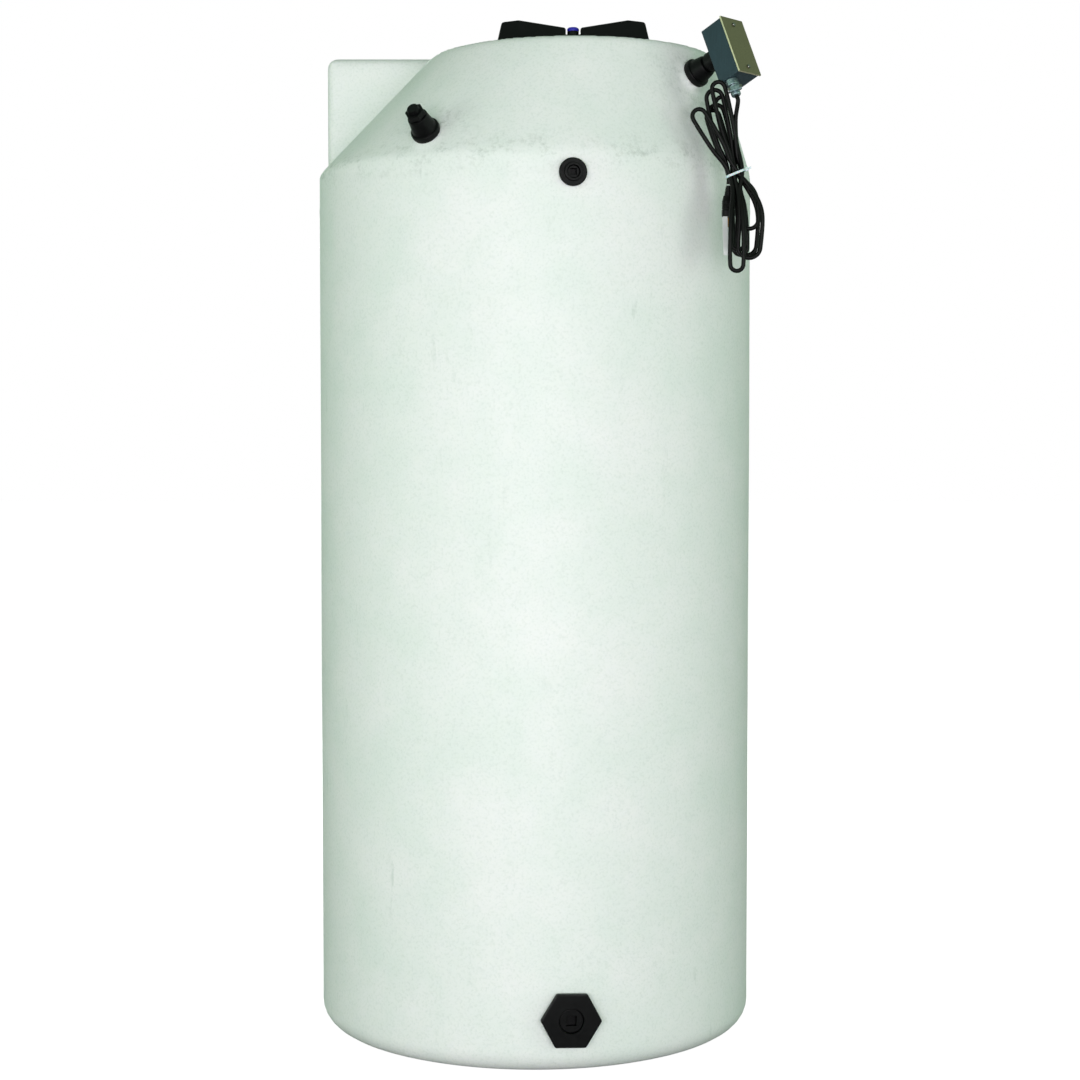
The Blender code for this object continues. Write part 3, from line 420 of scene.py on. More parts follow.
def crease_shade_and_dirt_mask(tree, place):
    """Painted shade along the shoulder crease and round the two upper fittings, broken up in patches with
    dirt.
    """
    height = add(tree, "ShaderNodeSeparateXYZ", {0: place}).outputs["Z"]
    [fine] = patches(tree, place, 9 * MM, 6.0, 0.72)
    [broad] = patches(tree, place, 70 * MM, 3.0, 0.6, stretch=(1.0, 1.0, 2.4))
    broken = add(tree, "ShaderNodeMath", {0: fine, 1: broad}, operation="MULTIPLY").outputs[0]
    away = add(tree, "ShaderNodeMath", {0: height, 1: sizes().shoulder_height}, operation="SUBTRACT")
    away = add(tree, "ShaderNodeMath", {0: away.outputs[0]}, operation="ABSOLUTE").outputs[0]
    near, far = SHADE_BAND
    inputs = {"Value": away, "From Min": near, "From Max": far, "To Min": 1.0, "To Max": 0.0}
    share = add(tree, "ShaderNodeMapRange", inputs).outputs["Result"]
    near, far = SHADE_RING
    for node in ("shoulder_port_gasket", "heater_port_gasket"):
        inputs = {0: place, 1: tuple(sum(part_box(node), Vector()) / 2)}
        away = add(tree, "ShaderNodeVectorMath", inputs, operation="DISTANCE").outputs["Value"]
        inputs = {"Value": away, "From Min": near, "From Max": far, "To Min": 1.0, "To Max": 0.0}
        round_it = add(tree, "ShaderNodeMapRange", inputs).outputs["Result"]
        share = add(tree, "ShaderNodeMath", {0: share, 1: round_it}, operation="MAXIMUM").outputs[0]
    inputs = {"Value": broken, "From Min": 0.26, "From Max": 0.42, "To Min": 0.0, "To Max": 0.42}
    torn = add(tree, "ShaderNodeMapRange", inputs).outputs["Result"]
    return add(tree, "ShaderNodeMath", {0: share, 1: torn}, operation="MULTIPLY").outputs[0]


def rotomoulded_polyethylene():
    """Natural polyethylene, rotomoulded: milky, waxy, cloudy in patches, with an orange-peel skin."""
    sockets = {"roughness": 0.55, "ior": 1.50, "subsurface_weight": 0.18, "subsurface_scale": 8 * MM}
    made, tree, shader, place = finish("rotomoulded_polyethylene", **sockets)
    shader.inputs["Subsurface Radius"].default_value = (1.0, 1.0, 0.85)
    tone = colours()
    _, cloud = patches(tree, place, 160 * MM, 3.0, 0.55, (0.35, 0.65, 0.0, 1.0))
    _, speckle = patches(tree, place, 5 * MM, 3.0, 0.6, (0.48, 0.70, 0.0, 0.20))
    spans = (0.62, 0.75, 0.0, 0.40), (0.3, 0.7, 0.48, 0.62)
    _, rubbed, dull = patches(tree, place, 26 * MM, 5.0, 0.62, *spans, stretch=(1.0, 1.0, 0.22))
    _, region = patches(tree, place, 230 * MM, 1.0, 0.5, (0.50, 0.66, 0.0, 1.0))
    rubbed = add(tree, "ShaderNodeMath", {0: rubbed, 1: region}, operation="MULTIPLY").outputs[0]
    body = layered(
        tree,
        linear(tone.shell),
        (cloud, linear(tone.shell_shade)),
        (speckle, linear(tone.scuff)),
        (rubbed, linear(tone.scuff)),
        # Painted shade in the shoulder crease and round the upper fittings, mixed with dirt.
        (crease_shade_and_dirt_mask(tree, place), linear(tone.crease_shade_and_dirt)),
    )
    # Orange peel is about 3 mm across. It is drawn at 6 mm, or it would not show.
    [peel] = patches(tree, place, 6 * MM, 2.0, 0.5)
    [swell] = patches(tree, place, 60 * MM, 1.0, 0.5)
    surface(tree, shader, body, dull, (peel, 0.25 * MM, 0.55), (swell, 1.2 * MM, 0.35))
    return made


def moulded_polypropylene():
    """Black polypropylene, injection moulded: near black, a fine satin grain, dust in patches."""
    made, tree, shader, place = finish(
        "moulded_polypropylene", roughness=0.42, ior=1.49, specular_ior_level=0.16
    )
    tone = colours()
    _, dust = patches(tree, place, 18 * MM, 4.0, 0.6, (0.52, 0.75, 0.0, 0.6))
    _, dull = patches(tree, place, 9 * MM, 3.0, 0.5, (0.3, 0.7, 0.36, 0.52))
    [satin] = patches(tree, place, 1.2 * MM, 2.0, 0.5)
    body = layered(tree, linear(tone.black), (dust, linear(tone.black_worn)))
    surface(tree, shader, body, dull, (satin, 0.08 * MM, 0.5))
    return made


def moulded_blue():
    """Blue polyethylene cap, moulded: dense colour with a soft gloss."""
    patch = (4 * MM, 3.0, 0.5, (0.3, 0.7, 0.0, 0.35))
    skin = (0.9 * MM, 2.0, 0.05 * MM, 0.5)
    return mottled("moulded_blue_cap", colours().blue, "100A5E", patch, skin, roughness=0.38, ior=1.50)


def seal_rubber():
    """EPDM sheet, cut: dull black with a faint bloom."""
    patch = (7 * MM, 4.0, 0.5, (0.4, 0.7, 0.0, 0.5))
    skin = (1.0 * MM, 2.0, 0.06 * MM, 0.6)
    return mottled("seal_rubber", "101010", "262726", patch, skin, roughness=0.82, ior=1.52)


def box_enamel():
    """Galvanised steel under thin grey-blue enamel: satin, with a faint rolled streak and rubbed spots."""
    made, tree, shader, place = finish("grey_blue_enamel", roughness=0.42, metallic=0.35)
    spans = (0.35, 0.7, 0.0, 0.7), (0.3, 0.7, 0.36, 0.55)
    streak, shade, dull = patches(tree, place, 5 * MM, 4.0, 0.65, *spans, stretch=(1.0, 1.0, 0.10))
    _, worn = patches(tree, place, 3 * MM, 5.0, 0.7, (0.63, 0.72, 0.0, 0.45))
    body = layered(tree, linear(colours().box), (shade, linear("22343D")), (worn, linear("5C7079")))
    surface(tree, shader, body, dull, (streak, 0.06 * MM, 0.4))
    return made


def brushed_stainless():
    """Stainless sheet, brushed one way: fine streaks that catch the light along the sheet."""
    made, tree, shader, place = finish("brushed_cover", roughness=0.34, metallic=1.0)
    tone = colours().cover
    spans = (0.3, 0.7, 0.0, 1.0), (0.3, 0.7, 0.26, 0.44)
    lines, shade, dull = patches(tree, place, 1.1 * MM, 5.0, 0.7, *spans, stretch=(1.0, 1.0, 0.07))
    _, blotch = patches(tree, place, 20 * MM, 3.0, 0.5, (0.45, 0.7, 0.0, 0.35))
    body = layered(tree, linear(tone, 0.62), (shade, linear(tone)), (blotch, linear(tone, 0.75)))
    surface(tree, shader, body, dull, (lines, 0.05 * MM, 0.6))
    return made


def cast_zinc():
    """Zinc die casting: blue-grey, slightly grainy, rubbed brighter in patches."""
    patch = (2.5 * MM, 4.0, 0.6, (0.42, 0.66, 0.0, 0.8))
    skin = (0.8 * MM, 2.0, 0.06 * MM, 0.6)
    return mottled("cast_zinc", colours().zinc, "B8C6C9", patch, skin, roughness=0.44, metallic=0.9)


def bright_metal(name, colour, roughness):
    """Turned and polished metal, with fine handling scratches."""
    made, tree, shader, place = finish(name, roughness=roughness, metallic=1.0)
    span = (0.3, 0.7, roughness - 0.06, roughness + 0.12)
    scratch, dull = patches(tree, place, 1.2 * MM, 5.0, 0.7, span, stretch=(1.0, 0.2, 1.0))
    body = layered(tree, linear(colour, 0.7), (scratch, linear(colour)))
    surface(tree, shader, body, dull)
    return made


def cord_jacket():
    """Soft PVC jacket, extruded: black, a faint sheen, tiny wrinkles."""
    patch = (12 * MM, 4.0, 0.6, (0.5, 0.72, 0.0, 0.7))
    skin = (1.6 * MM, 3.0, 0.10 * MM, 0.5)
    sockets = {"roughness": 0.46, "ior": 1.53, "specular_ior_level": 0.15}
    return mottled("soft_pvc_jacket", "030303", "0B0B0A", patch, skin, **sockets)


def milky_nylon():
    """Natural nylon cable tie: slightly clear, waxy white."""
    patch = (5 * MM, 3.0, 0.5, (0.35, 0.7, 0.0, 0.6))
    skin = (1.0 * MM, 2.0, 0.05 * MM, 0.5)
    sockets = {"roughness": 0.36, "ior": 1.53, "subsurface_weight": 0.2, "subsurface_scale": 2 * MM}
    return mottled("natural_nylon", colours().nylon, "B9CBCF", patch, skin, **sockets)


def coated_paper():
    """Coated card: white, flat, very slightly mottled fibre."""
    made, tree, shader, place = finish("coated_card", roughness=0.6, ior=1.5)
    _, fibre = patches(tree, place, 1.5 * MM, 5.0, 0.7, (0.35, 0.65, 0.0, 0.5))
    body = layered(tree, linear(colours().paper), (fibre, linear("DDE2E1")))
    surface(tree, shader, body, None, (fibre, 0.04 * MM, 0.5))
    return made


made_finishes = {}


def finish_for(slot):
    """The finish of one of the record's material slots, made once."""
    if slot in made_finishes:
        return made_finishes[slot]
    tone = colours()
    makers = {
        "polyethylene": rotomoulded_polyethylene,
        "black_plastic": moulded_polypropylene,
        "blue_plastic": moulded_blue,
        "rubber": seal_rubber,
        "box_paint": box_enamel,
        "brushed_cover": brushed_stainless,
        "zinc": cast_zinc,
        "stainless": lambda: bright_metal("turned_stainless", tone.steel, 0.26),
        "cord_jacket": cord_jacket,
        "nylon": milky_nylon,
        "brass": lambda: bright_metal("plated_brass", tone.brass, 0.24),
        "tag": coated_paper,
    }
    made_finishes[slot] = makers[slot]()
    return made_finishes[slot]


def dressed(piece, slot):
    """Gives a piece its finish."""
    piece.data.materials.clear()
    piece.data.materials.append(finish_for(slot))
    return piece


SLOTS = {part["node"]: part["material_slot"] for part in frame["record"]["subparts"]}
BODY_OF = {node: body for body, nodes in frame["record"]["behaviour"]["bodies"].items() for node in nodes}


def stands_for(piece, *nodes):
    """The piece takes the place of CAD nodes: their body and their finish."""
    dressed(piece, SLOTS[nodes[0]])
    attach(piece, BODY_OF[nodes[0]])
    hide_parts(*nodes)
    return piece


# ---------------------------------------------------------------- stage


def look_at(thing, target):
    """Turns a lamp to face its target."""
    thing.rotation_euler = (Vector(target) - thing.location).to_track_quat("-Z", "Y").to_euler()


class TANK_OT_stage(Operator):
    """Adds the camera, the lamps, the sky and the floor"""

    bl_idname = "tank.stage"
    bl_label = "Stage"

    CAMERA_PLACE = (0.0106, -4.4, 1.2136)
    CAMERA_TILT = -2.624
    CAMERA_LENS = 69.3
    SENSOR_WIDTH = 36.0
    # Each lamp: its name, its place, what it faces, its width and height, its power in watts, its colour.
    LAMPS = (
        ("front_lamp", (-0.10, -5.4, 1.10), (0.0, 0.0, 1.10), (6.0, 1.6), 190.0, (1.0, 0.93, 0.995)),
        ("left_lamp", (-4.4, -2.6, 1.15), (0.0, 0.0, 1.10), (2.0, 1.6), 40.0, (0.78, 1.0, 0.81)),
        ("right_lamp", (4.4, -2.6, 1.15), (0.0, 0.0, 1.10), (2.0, 1.6), 32.0, (0.78, 1.0, 0.81)),
        ("back_lamp", (0.0, 4.8, 2.4), (0.0, 0.0, 1.1), (2.4, 2.4), 170.0, (1.0, 1.0, 1.0)),
    )
    SKY_LOW = 0.55
    SKY_HIGH = 0.20
    SKY_GLOSS = 0.20
    SKY_TINT = (0.72, 1.0, 0.77, 1.0)
    FLOOR_REACH = 40.0
    FLOOR_TONE = (0.30, 0.30, 0.30, 1.0)
    FLOOR_GLOW = 0.94
    WHITE = (1.0, 1.0, 1.0, 1.0)

    def execute(self, context):
        scene = context.scene
        camera = bpy.data.objects.new("camera", bpy.data.cameras.new("camera"))
        scene.collection.objects.link(camera)
        camera.location = self.CAMERA_PLACE
        camera.rotation_euler = (math.radians(90.0 + self.CAMERA_TILT), 0.0, 0.0)
        camera.data.lens = self.CAMERA_LENS
        camera.data.sensor_width = self.SENSOR_WIDTH
        camera.data.clip_end = 200.0
        scene.camera = camera
        scene.view_settings.view_transform = "Standard"
        for name, place, target, (width, height), power, colour in self.LAMPS:
            lamp = bpy.data.objects.new(name, bpy.data.lights.new(name, "AREA"))
            scene.collection.objects.link(lamp)
            lamp.data.shape = "RECTANGLE"
            lamp.data.size, lamp.data.size_y = width, height
            lamp.data.energy = power
            lamp.data.color = colour
            lamp.location = place
            look_at(lamp, target)
        self.sky(scene)
        self.floor()
        return {"FINISHED"}

    def sky(self, scene):
        """White where it is seen, and a soft pale light, weaker from above, where it lights."""
        world = bpy.data.worlds.new("studio")
        scene.world = world
        world.use_nodes = True
        tree = world.node_tree
        tree.nodes.clear()
        rays = add(tree, "ShaderNodeLightPath").outputs
        inputs = {0: rays["Is Camera Ray"], 1: rays["Is Transmission Ray"]}
        seen = add(tree, "ShaderNodeMath", inputs, operation="MAXIMUM").outputs[0]
        direction = add(tree, "ShaderNodeTexCoord").outputs["Generated"]
        height = add(tree, "ShaderNodeSeparateXYZ", {0: direction}).outputs["Z"]
        inputs = {"Value": height, "From Max": 0.9, "To Min": self.SKY_LOW, "To Max": self.SKY_HIGH}
        diffuse = add(tree, "ShaderNodeMapRange", inputs).outputs["Result"]
        inputs = {0: rays["Is Glossy Ray"], 1: self.SKY_GLOSS}
        gloss = add(tree, "ShaderNodeMath", inputs, operation="MULTIPLY").outputs[0]
        strength = add(tree, "ShaderNodeMath", {0: diffuse, 1: gloss}, operation="ADD").outputs[0]
        inputs = {"Color": self.SKY_TINT, "Strength": strength}
        light = add(tree, "ShaderNodeBackground", inputs).outputs[0]
        white = add(tree, "ShaderNodeBackground", {"Color": self.WHITE, "Strength": 1.0}).outputs[0]
        mixed = add(tree, "ShaderNodeMixShader", {0: seen, 1: light, 2: white})
        add(tree, "ShaderNodeOutputWorld", {"Surface": mixed.outputs[0]})

    def floor(self):
        """A plain white floor that keeps a soft shadow."""
        signs = ((-1, -1), (1, -1), (1, 1), (-1, 1))
        corners = [(x * self.FLOOR_REACH, y * self.FLOOR_REACH, 0.0) for x, y in signs]
        floor = shape("floor", corners, [[0, 1, 2, 3]])
        made, tree, shader, _ = finish("floor_white", roughness=0.9, specular_ior_level=0.0)
        shader.inputs["Base Color"].default_value = self.FLOOR_TONE
        shader.inputs["Emission Color"].default_value = self.WHITE
        seen = add(tree, "ShaderNodeLightPath").outputs["Is Camera Ray"]
        inputs = {0: seen, 1: self.FLOOR_GLOW}
        glow = add(tree, "ShaderNodeMath", inputs, operation="MULTIPLY").outputs[0]
        tree.links.new(glow, shader.inputs["Emission Strength"])
        floor.data.materials.append(made)


# ---------------------------------------------------------------- cord


HANK_CENTRE = Vector((0.3889, -0.350, 1.7373))  # the middle of the tie
TIE_TILT = 22.0  # degrees, how far the tie slopes up to the right
STRAND = 0.0086  # strands lie this far apart in the tie
ROUTE_STEP = 0.003  # points stand this far apart along the cord
PLUG_PINS = ("plug_blade_1", "plug_blade_2", "plug_ground_pin")

# How a fold swells from the tie to its tip: share of its length, share of its half width.
SWELL = ((0.20, 0.52), (0.42, 0.86), (0.62, 1.0))
TIP_TURNS = range(80, -81, -20)  # degrees round a fold's tip

# Each fold: its tip across and up from the tie, half its width, its depth layer, its sway.
UPPER_FOLDS = (
    ((-0.0790, 0.1190), 0.0130, -0.0180, 0.000),
    ((-0.0375, 0.1740), 0.0125, -0.0095, 0.000),
    ((-0.0450, 0.1600), 0.0155, -0.0010, 0.002),
    ((-0.0290, 0.1480), 0.0125, 0.0075, 0.000),
    ((-0.0400, 0.1340), 0.0145, 0.0160, 0.000),
    ((-0.0460, 0.1250), 0.0125, 0.0246, 0.000),
)
LOWER_FOLDS = (
    ((0.0000, -0.1900), 0.0125, -0.0337, 0.000),
    ((0.0280, -0.1640), 0.0220, -0.0252, 0.014),
    ((0.0040, -0.1480), 0.0125, -0.0167, 0.002),
    ((0.0310, -0.1060), 0.0180, -0.0082, 0.008),
    ((0.0110, -0.1560), 0.0130, 0.0003, 0.002),
    ((0.0250, -0.1560), 0.0200, 0.0088, 0.012),
)

# From the middle of the tie: the lead's way down to it, and the cord's way from the hank to its plug.
LEAD = ((-0.0005, -0.0050, 0.1080), (0.0, 0.0, 0.0840), (0.0017, 0.0, 0.0605))
LAST_FOLD_END = Vector((-0.0100, 0.0225, 0.0120))
TO_PLUG = (Vector((-0.0110, 0.0245, -0.0040)), Vector((-0.0110, 0.0263, -0.0170)))


def smooth_route(route, spacing):
    """Points about spacing apart on a smooth curve through the route's own points."""
    ends = [route[0] * 2 - route[1], *route, route[-1] * 2 - route[-2]]
    points = []
    for a, b, c, d in zip(ends, ends[1:], ends[2:], ends[3:]):
        first, here, last = ((q - p).length ** 0.5 for p, q in ((a, b), (b, c), (c, d)))
        leave = ((b - a) / first - (c - a) / (first + here) + (c - b) / here) * here
        arrive = ((c - b) / here - (d - b) / (here + last) + (d - c) / last) * here
        count = max(1, round((c - b).length / spacing))
        for k in range(count):
            t = k / count
            bend = (2 * t**3 - 3 * t**2 + 1) * b + (t**3 - 2 * t**2 + t) * leave
            points.append(bend + (3 * t**2 - 2 * t**3) * c + (t**3 - t**2) * arrive)
    return points + [route[-1]]


def fold(start, end, tip, half_width, depth, sway):
    """One fold of the hank: out from start along one side, round its tip, and back to end."""
    middle = (start + end) / 2
    middle.y = 0.0
    along = Vector((tip[0], 0.0, tip[1])) - middle
    length = along.length
    along.normalize()
    side = Vector((along.z, 0.0, -along.x))
    if side.dot(start - middle) < 0:
        side = -side
    layer = Vector((0.0, depth, 0.0))

    def beside(share, width, from_depth):
        ease = share / SWELL[-1][0]
        ease = ease * ease * (3 - 2 * ease)
        bulge = side * (width * half_width + sway * math.sin(math.pi * share))
        sunk = layer * ease + Vector((0.0, from_depth * (1 - ease), 0.0))
        return middle + along * (share * (length - half_width)) + bulge + sunk

    points = [start, *(beside(share, width, start.y) for share, width in SWELL)]
    centre = middle + along * (length - half_width)
    for turn in TIP_TURNS:
        angle = math.radians(turn)
        points.append(centre + layer + (along * math.cos(angle) + side * math.sin(angle)) * half_width)
    return points + [beside(share, -width, end.y) for share, width in reversed(SWELL)]


def strand(side, number):
    """Where a strand crosses the tie: side 1 goes down on the right, side -1 up on the left."""
    across = side * STRAND * (1.5 if number % 2 == 0 else 0.5)
    deep = STRAND * (number // 2 - 1)
    tilt = math.radians(TIE_TILT)
    return Vector((across * math.cos(tilt), deep, across * math.sin(tilt)))


def lead_start():
    """Where the cord leaves its connector, from the top of the CAD lead, and its way out of it."""
    lead = [Vector(v.co) for v in frame["nodes"]["cord_lead"].data.vertices]
    top = max(lead, key=lambda v: v.z)
    near = [v for v in lead if (v - top).length < 2.2 * sizes().cord_diameter and v.z > top.z - 0.004]
    start = sum(near, Vector()) / len(near)
    connector = [Vector(v.co) for v in frame["nodes"]["cord_connector"].data.vertices]
    heart = sum(connector, Vector()) / len(connector)
    return start, (start - heart).normalized()


def cord_route():
    """The cord's own points: the lead down from its connector, the hank's turns, and on to the plug."""
    start, down = lead_start()
    route = [start, start + down * 0.008]
    route += [HANK_CENTRE + Vector(point) for point in LEAD]
    hank = []
    last = len(LOWER_FOLDS) - 1
    for number, (lower, upper) in enumerate(zip(LOWER_FOLDS, UPPER_FOLDS)):
        hank += fold(strand(1, number), strand(-1, number), *lower)
        end = LAST_FOLD_END if number == last else strand(1, number + 1)
        hank += fold(strand(-1, number), end, *upper)
    hank += TO_PLUG
    return start, route + [HANK_CENTRE + point for point in hank]


class TANK_OT_cord(Operator):
    """Adds the cord with its lead and its tied hank, its plug and its tag"""

    bl_idname = "tank.cord"
    bl_label = "Cord"

    def execute(self, context):
        diameter = sizes().cord_diameter
        start, route = cord_route()
        points = smooth_route(route, ROUTE_STEP)
        curve = bpy.data.curves.new("cord", "CURVE")
        curve.dimensions = "3D"
        line = curve.splines.new("POLY")
        line.points.add(len(points) - 1)
        for place, point in zip(line.points, points):
            place.co = (*point, 1.0)
        line.use_smooth = True
        curve.bevel_depth = diameter / 2
        curve.bevel_resolution = 4
        curve.use_fill_caps = True
        piece = bpy.data.objects.new("cord", curve)
        context.scene.collection.objects.link(piece)
        stands_for(piece, "cord_lead", "cord_hank")
        extras = [cable_tie(), plug_body(), tag(), *(frame["nodes"][n] for n in PLUG_PINS)]
        return {"FINISHED"}


TIE_HALF = (0.0184, 0.0138)  # half the tie's inside, across and deep
TIE_BAND = 0.0048  # its width
TIE_THICK = 0.0013
TIE_CORNER = 0.0060
TIE_EASE = 0.0004  # the slope of its outer edges
TIE_TAIL_TURN = -12.0  # degrees


def small_block(name, length, half_depth, half_height):
    """A block that runs its length along X from the origin."""
    outline = [(0.0, -half_depth), (length, -half_depth), (length, half_depth), (0.0, half_depth)]
    return slab(name, outline, -half_height, half_height)


def cable_tie():
    """The nylon band round the hank, with its ratchet head and cut tail."""
    across, deep = TIE_HALF
    path = []
    for sx, sy, first in ((1, 1, 0), (-1, 1, 90), (-1, -1, 180), (1, -1, 270)):
        for k in range(7):
            turn = math.radians(first + 15 * k)
            x = sx * (across - TIE_CORNER) + TIE_CORNER * math.cos(turn)
            y = sy * (deep - TIE_CORNER) + TIE_CORNER * math.sin(turn)
            path.append((x, y, turn))
    edge = TIE_BAND / 2
    section = ((0.0, -edge), (TIE_THICK, -edge + TIE_EASE), (TIE_THICK, edge - TIE_EASE), (0.0, edge))
    vertices, faces = [], []
    for x, y, turn in path:
        out = Vector((math.cos(turn), math.sin(turn)))
        vertices += [(x + out.x * reach, y + out.y * reach, level) for reach, level in section]
    count = len(path)
    for k in range(count):
        n = (k + 1) % count
        faces += [[4 * k + i, 4 * n + i, 4 * n + (i + 1) % 4, 4 * k + (i + 1) % 4] for i in range(4)]
    piece = shape("cable_tie", vertices, faces)
    head = small_block("head", 0.0070, 0.0036, 0.0040)
    head.data.transform(Matrix.Translation((across + TIE_THICK * 0.4, -0.0030, 0.0)))
    bevelled(head, 0.0009)
    tail = small_block("tail", 0.0070, 0.0006, 0.0021)
    turned_out = Matrix.Rotation(math.radians(TIE_TAIL_TURN), 4, "Z")
    tail.data.transform(Matrix.Translation((across + 0.0065, -0.0030, 0.0)) @ turned_out)
    absorb(piece, head, tail)
    tilt = Matrix.Rotation(math.radians(-TIE_TILT), 4, "Y")
    piece.data.transform(Matrix.Translation(HANK_CENTRE) @ tilt)
    smooth(piece, 40.0)
    return stands_for(piece, "cord_tie")


PLUG_GRIP = ((0.0, 0.90), (0.0012, 0.98), (0.010, 1.0), (0.030, 0.94), (0.040, 0.78))
PLUG_RIDGE = ((0.0, 0.985), (0.0008, 0.93), (0.0022, 0.93), (0.0030, 0.985))
PLUG_RELIEF = 0.020  # height of the ribbed relief above the grip
RELIEF_RIB = ((0.0, 0.0), (0.0017, 0.0), (0.0019, 0.0014), (0.0029, 0.0014))
RELIEF_END = 0.0052
PLUG_STEPS = 40


def plug_rings(half, height):
    """The plug's rings as (height, radius), and the height where its square grip ends."""
    rings = [(level, half * share) for level, share in PLUG_GRIP]
    grip_top = height - PLUG_RELIEF
    for k in range(5):
        rings += [(0.013 + 0.0034 * k + rise, half * share) for rise, share in PLUG_RIDGE]
    rings = sorted(ring for ring in rings if ring[0] < grip_top)
    for k in range(6):
        level, radius = grip_top + 0.0030 * k, 0.0086 - 0.0005 * k
        rings += [(level + rise, radius - cut) for rise, cut in RELIEF_RIB]
    rings.append((height, RELIEF_END))
    return rings, grip_top


def plug_body():
    """The moulded plug: a rounded square grip with finger ridges and a ribbed relief above it."""
    low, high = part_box("cord_plug")
    middle, face = (low + high) / 2, low.z
    rings, grip_top = plug_rings((high.x - low.x) / 2, high.z - face)
    vertices, faces = [(0.0, 0.0, 0.0)], []
    for level, size in rings:
        power = 4.2 if level < grip_top else 2.0
        for k in range(PLUG_STEPS):
            turn = 2 * math.pi * k / PLUG_STEPS
            c, s = math.cos(turn), math.sin(turn)
            reach = size / (abs(c) ** power + abs(s) ** power) ** (1 / power)
            vertices.append((reach * c, reach * s, level))
    for row in range(len(rings) - 1):
        first = 1 + row * PLUG_STEPS
        for k in range(PLUG_STEPS):
            n = (k + 1) % PLUG_STEPS
            faces.append([first + k, first + n, first + PLUG_STEPS + n, first + PLUG_STEPS + k])
    faces += [[0, 1 + (k + 1) % PLUG_STEPS, 1 + k] for k in range(PLUG_STEPS)]
    faces.append([1 + (len(rings) - 1) * PLUG_STEPS + k for k in range(PLUG_STEPS)])
    piece = shape("cord_plug_body", vertices, faces)
    piece.data.transform(Matrix.Translation((middle.x, middle.y, face)))
    smooth(piece, 45.0)
    return stands_for(piece, "cord_plug")


TAG_ACROSS, TAG_ALONG = 6, 24
TAG_THICK = 0.0007


def tag():
    """The blank card tag, slightly curled."""
    low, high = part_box("cord_tag")
    vertices, faces = [], []
    for j in range(TAG_ALONG + 1):
        t = j / TAG_ALONG
        width = (high.x - low.x) * (1.0 if j else 0.8)
        for i in range(TAG_ACROSS + 1):
            u = i / TAG_ACROSS - 0.5
            curl = -0.0035 * math.sin(2.2 * t) * t + 0.0018 * u * math.sin(math.pi * t)
            x = (low.x + high.x) / 2 + u * width + 0.002 * t * t
            vertices.append((x, low.y + curl, high.z - t * (high.z - low.z)))
    row = TAG_ACROSS + 1
    for j in range(TAG_ALONG):
        for i in range(TAG_ACROSS):
            a = j * row + i
            faces.append([a, a + 1, a + row + 1, a + row])
    piece = shape("blank_tag", vertices, faces)
    solid = piece.modifiers.new("thickness", "SOLIDIFY")
    solid.thickness = TAG_THICK
    solid.offset = 0.0
    settled(piece)
    smooth(piece, 40.0)
    return stands_for(piece, "cord_tag")


# ---------------------------------------------------------------- shell


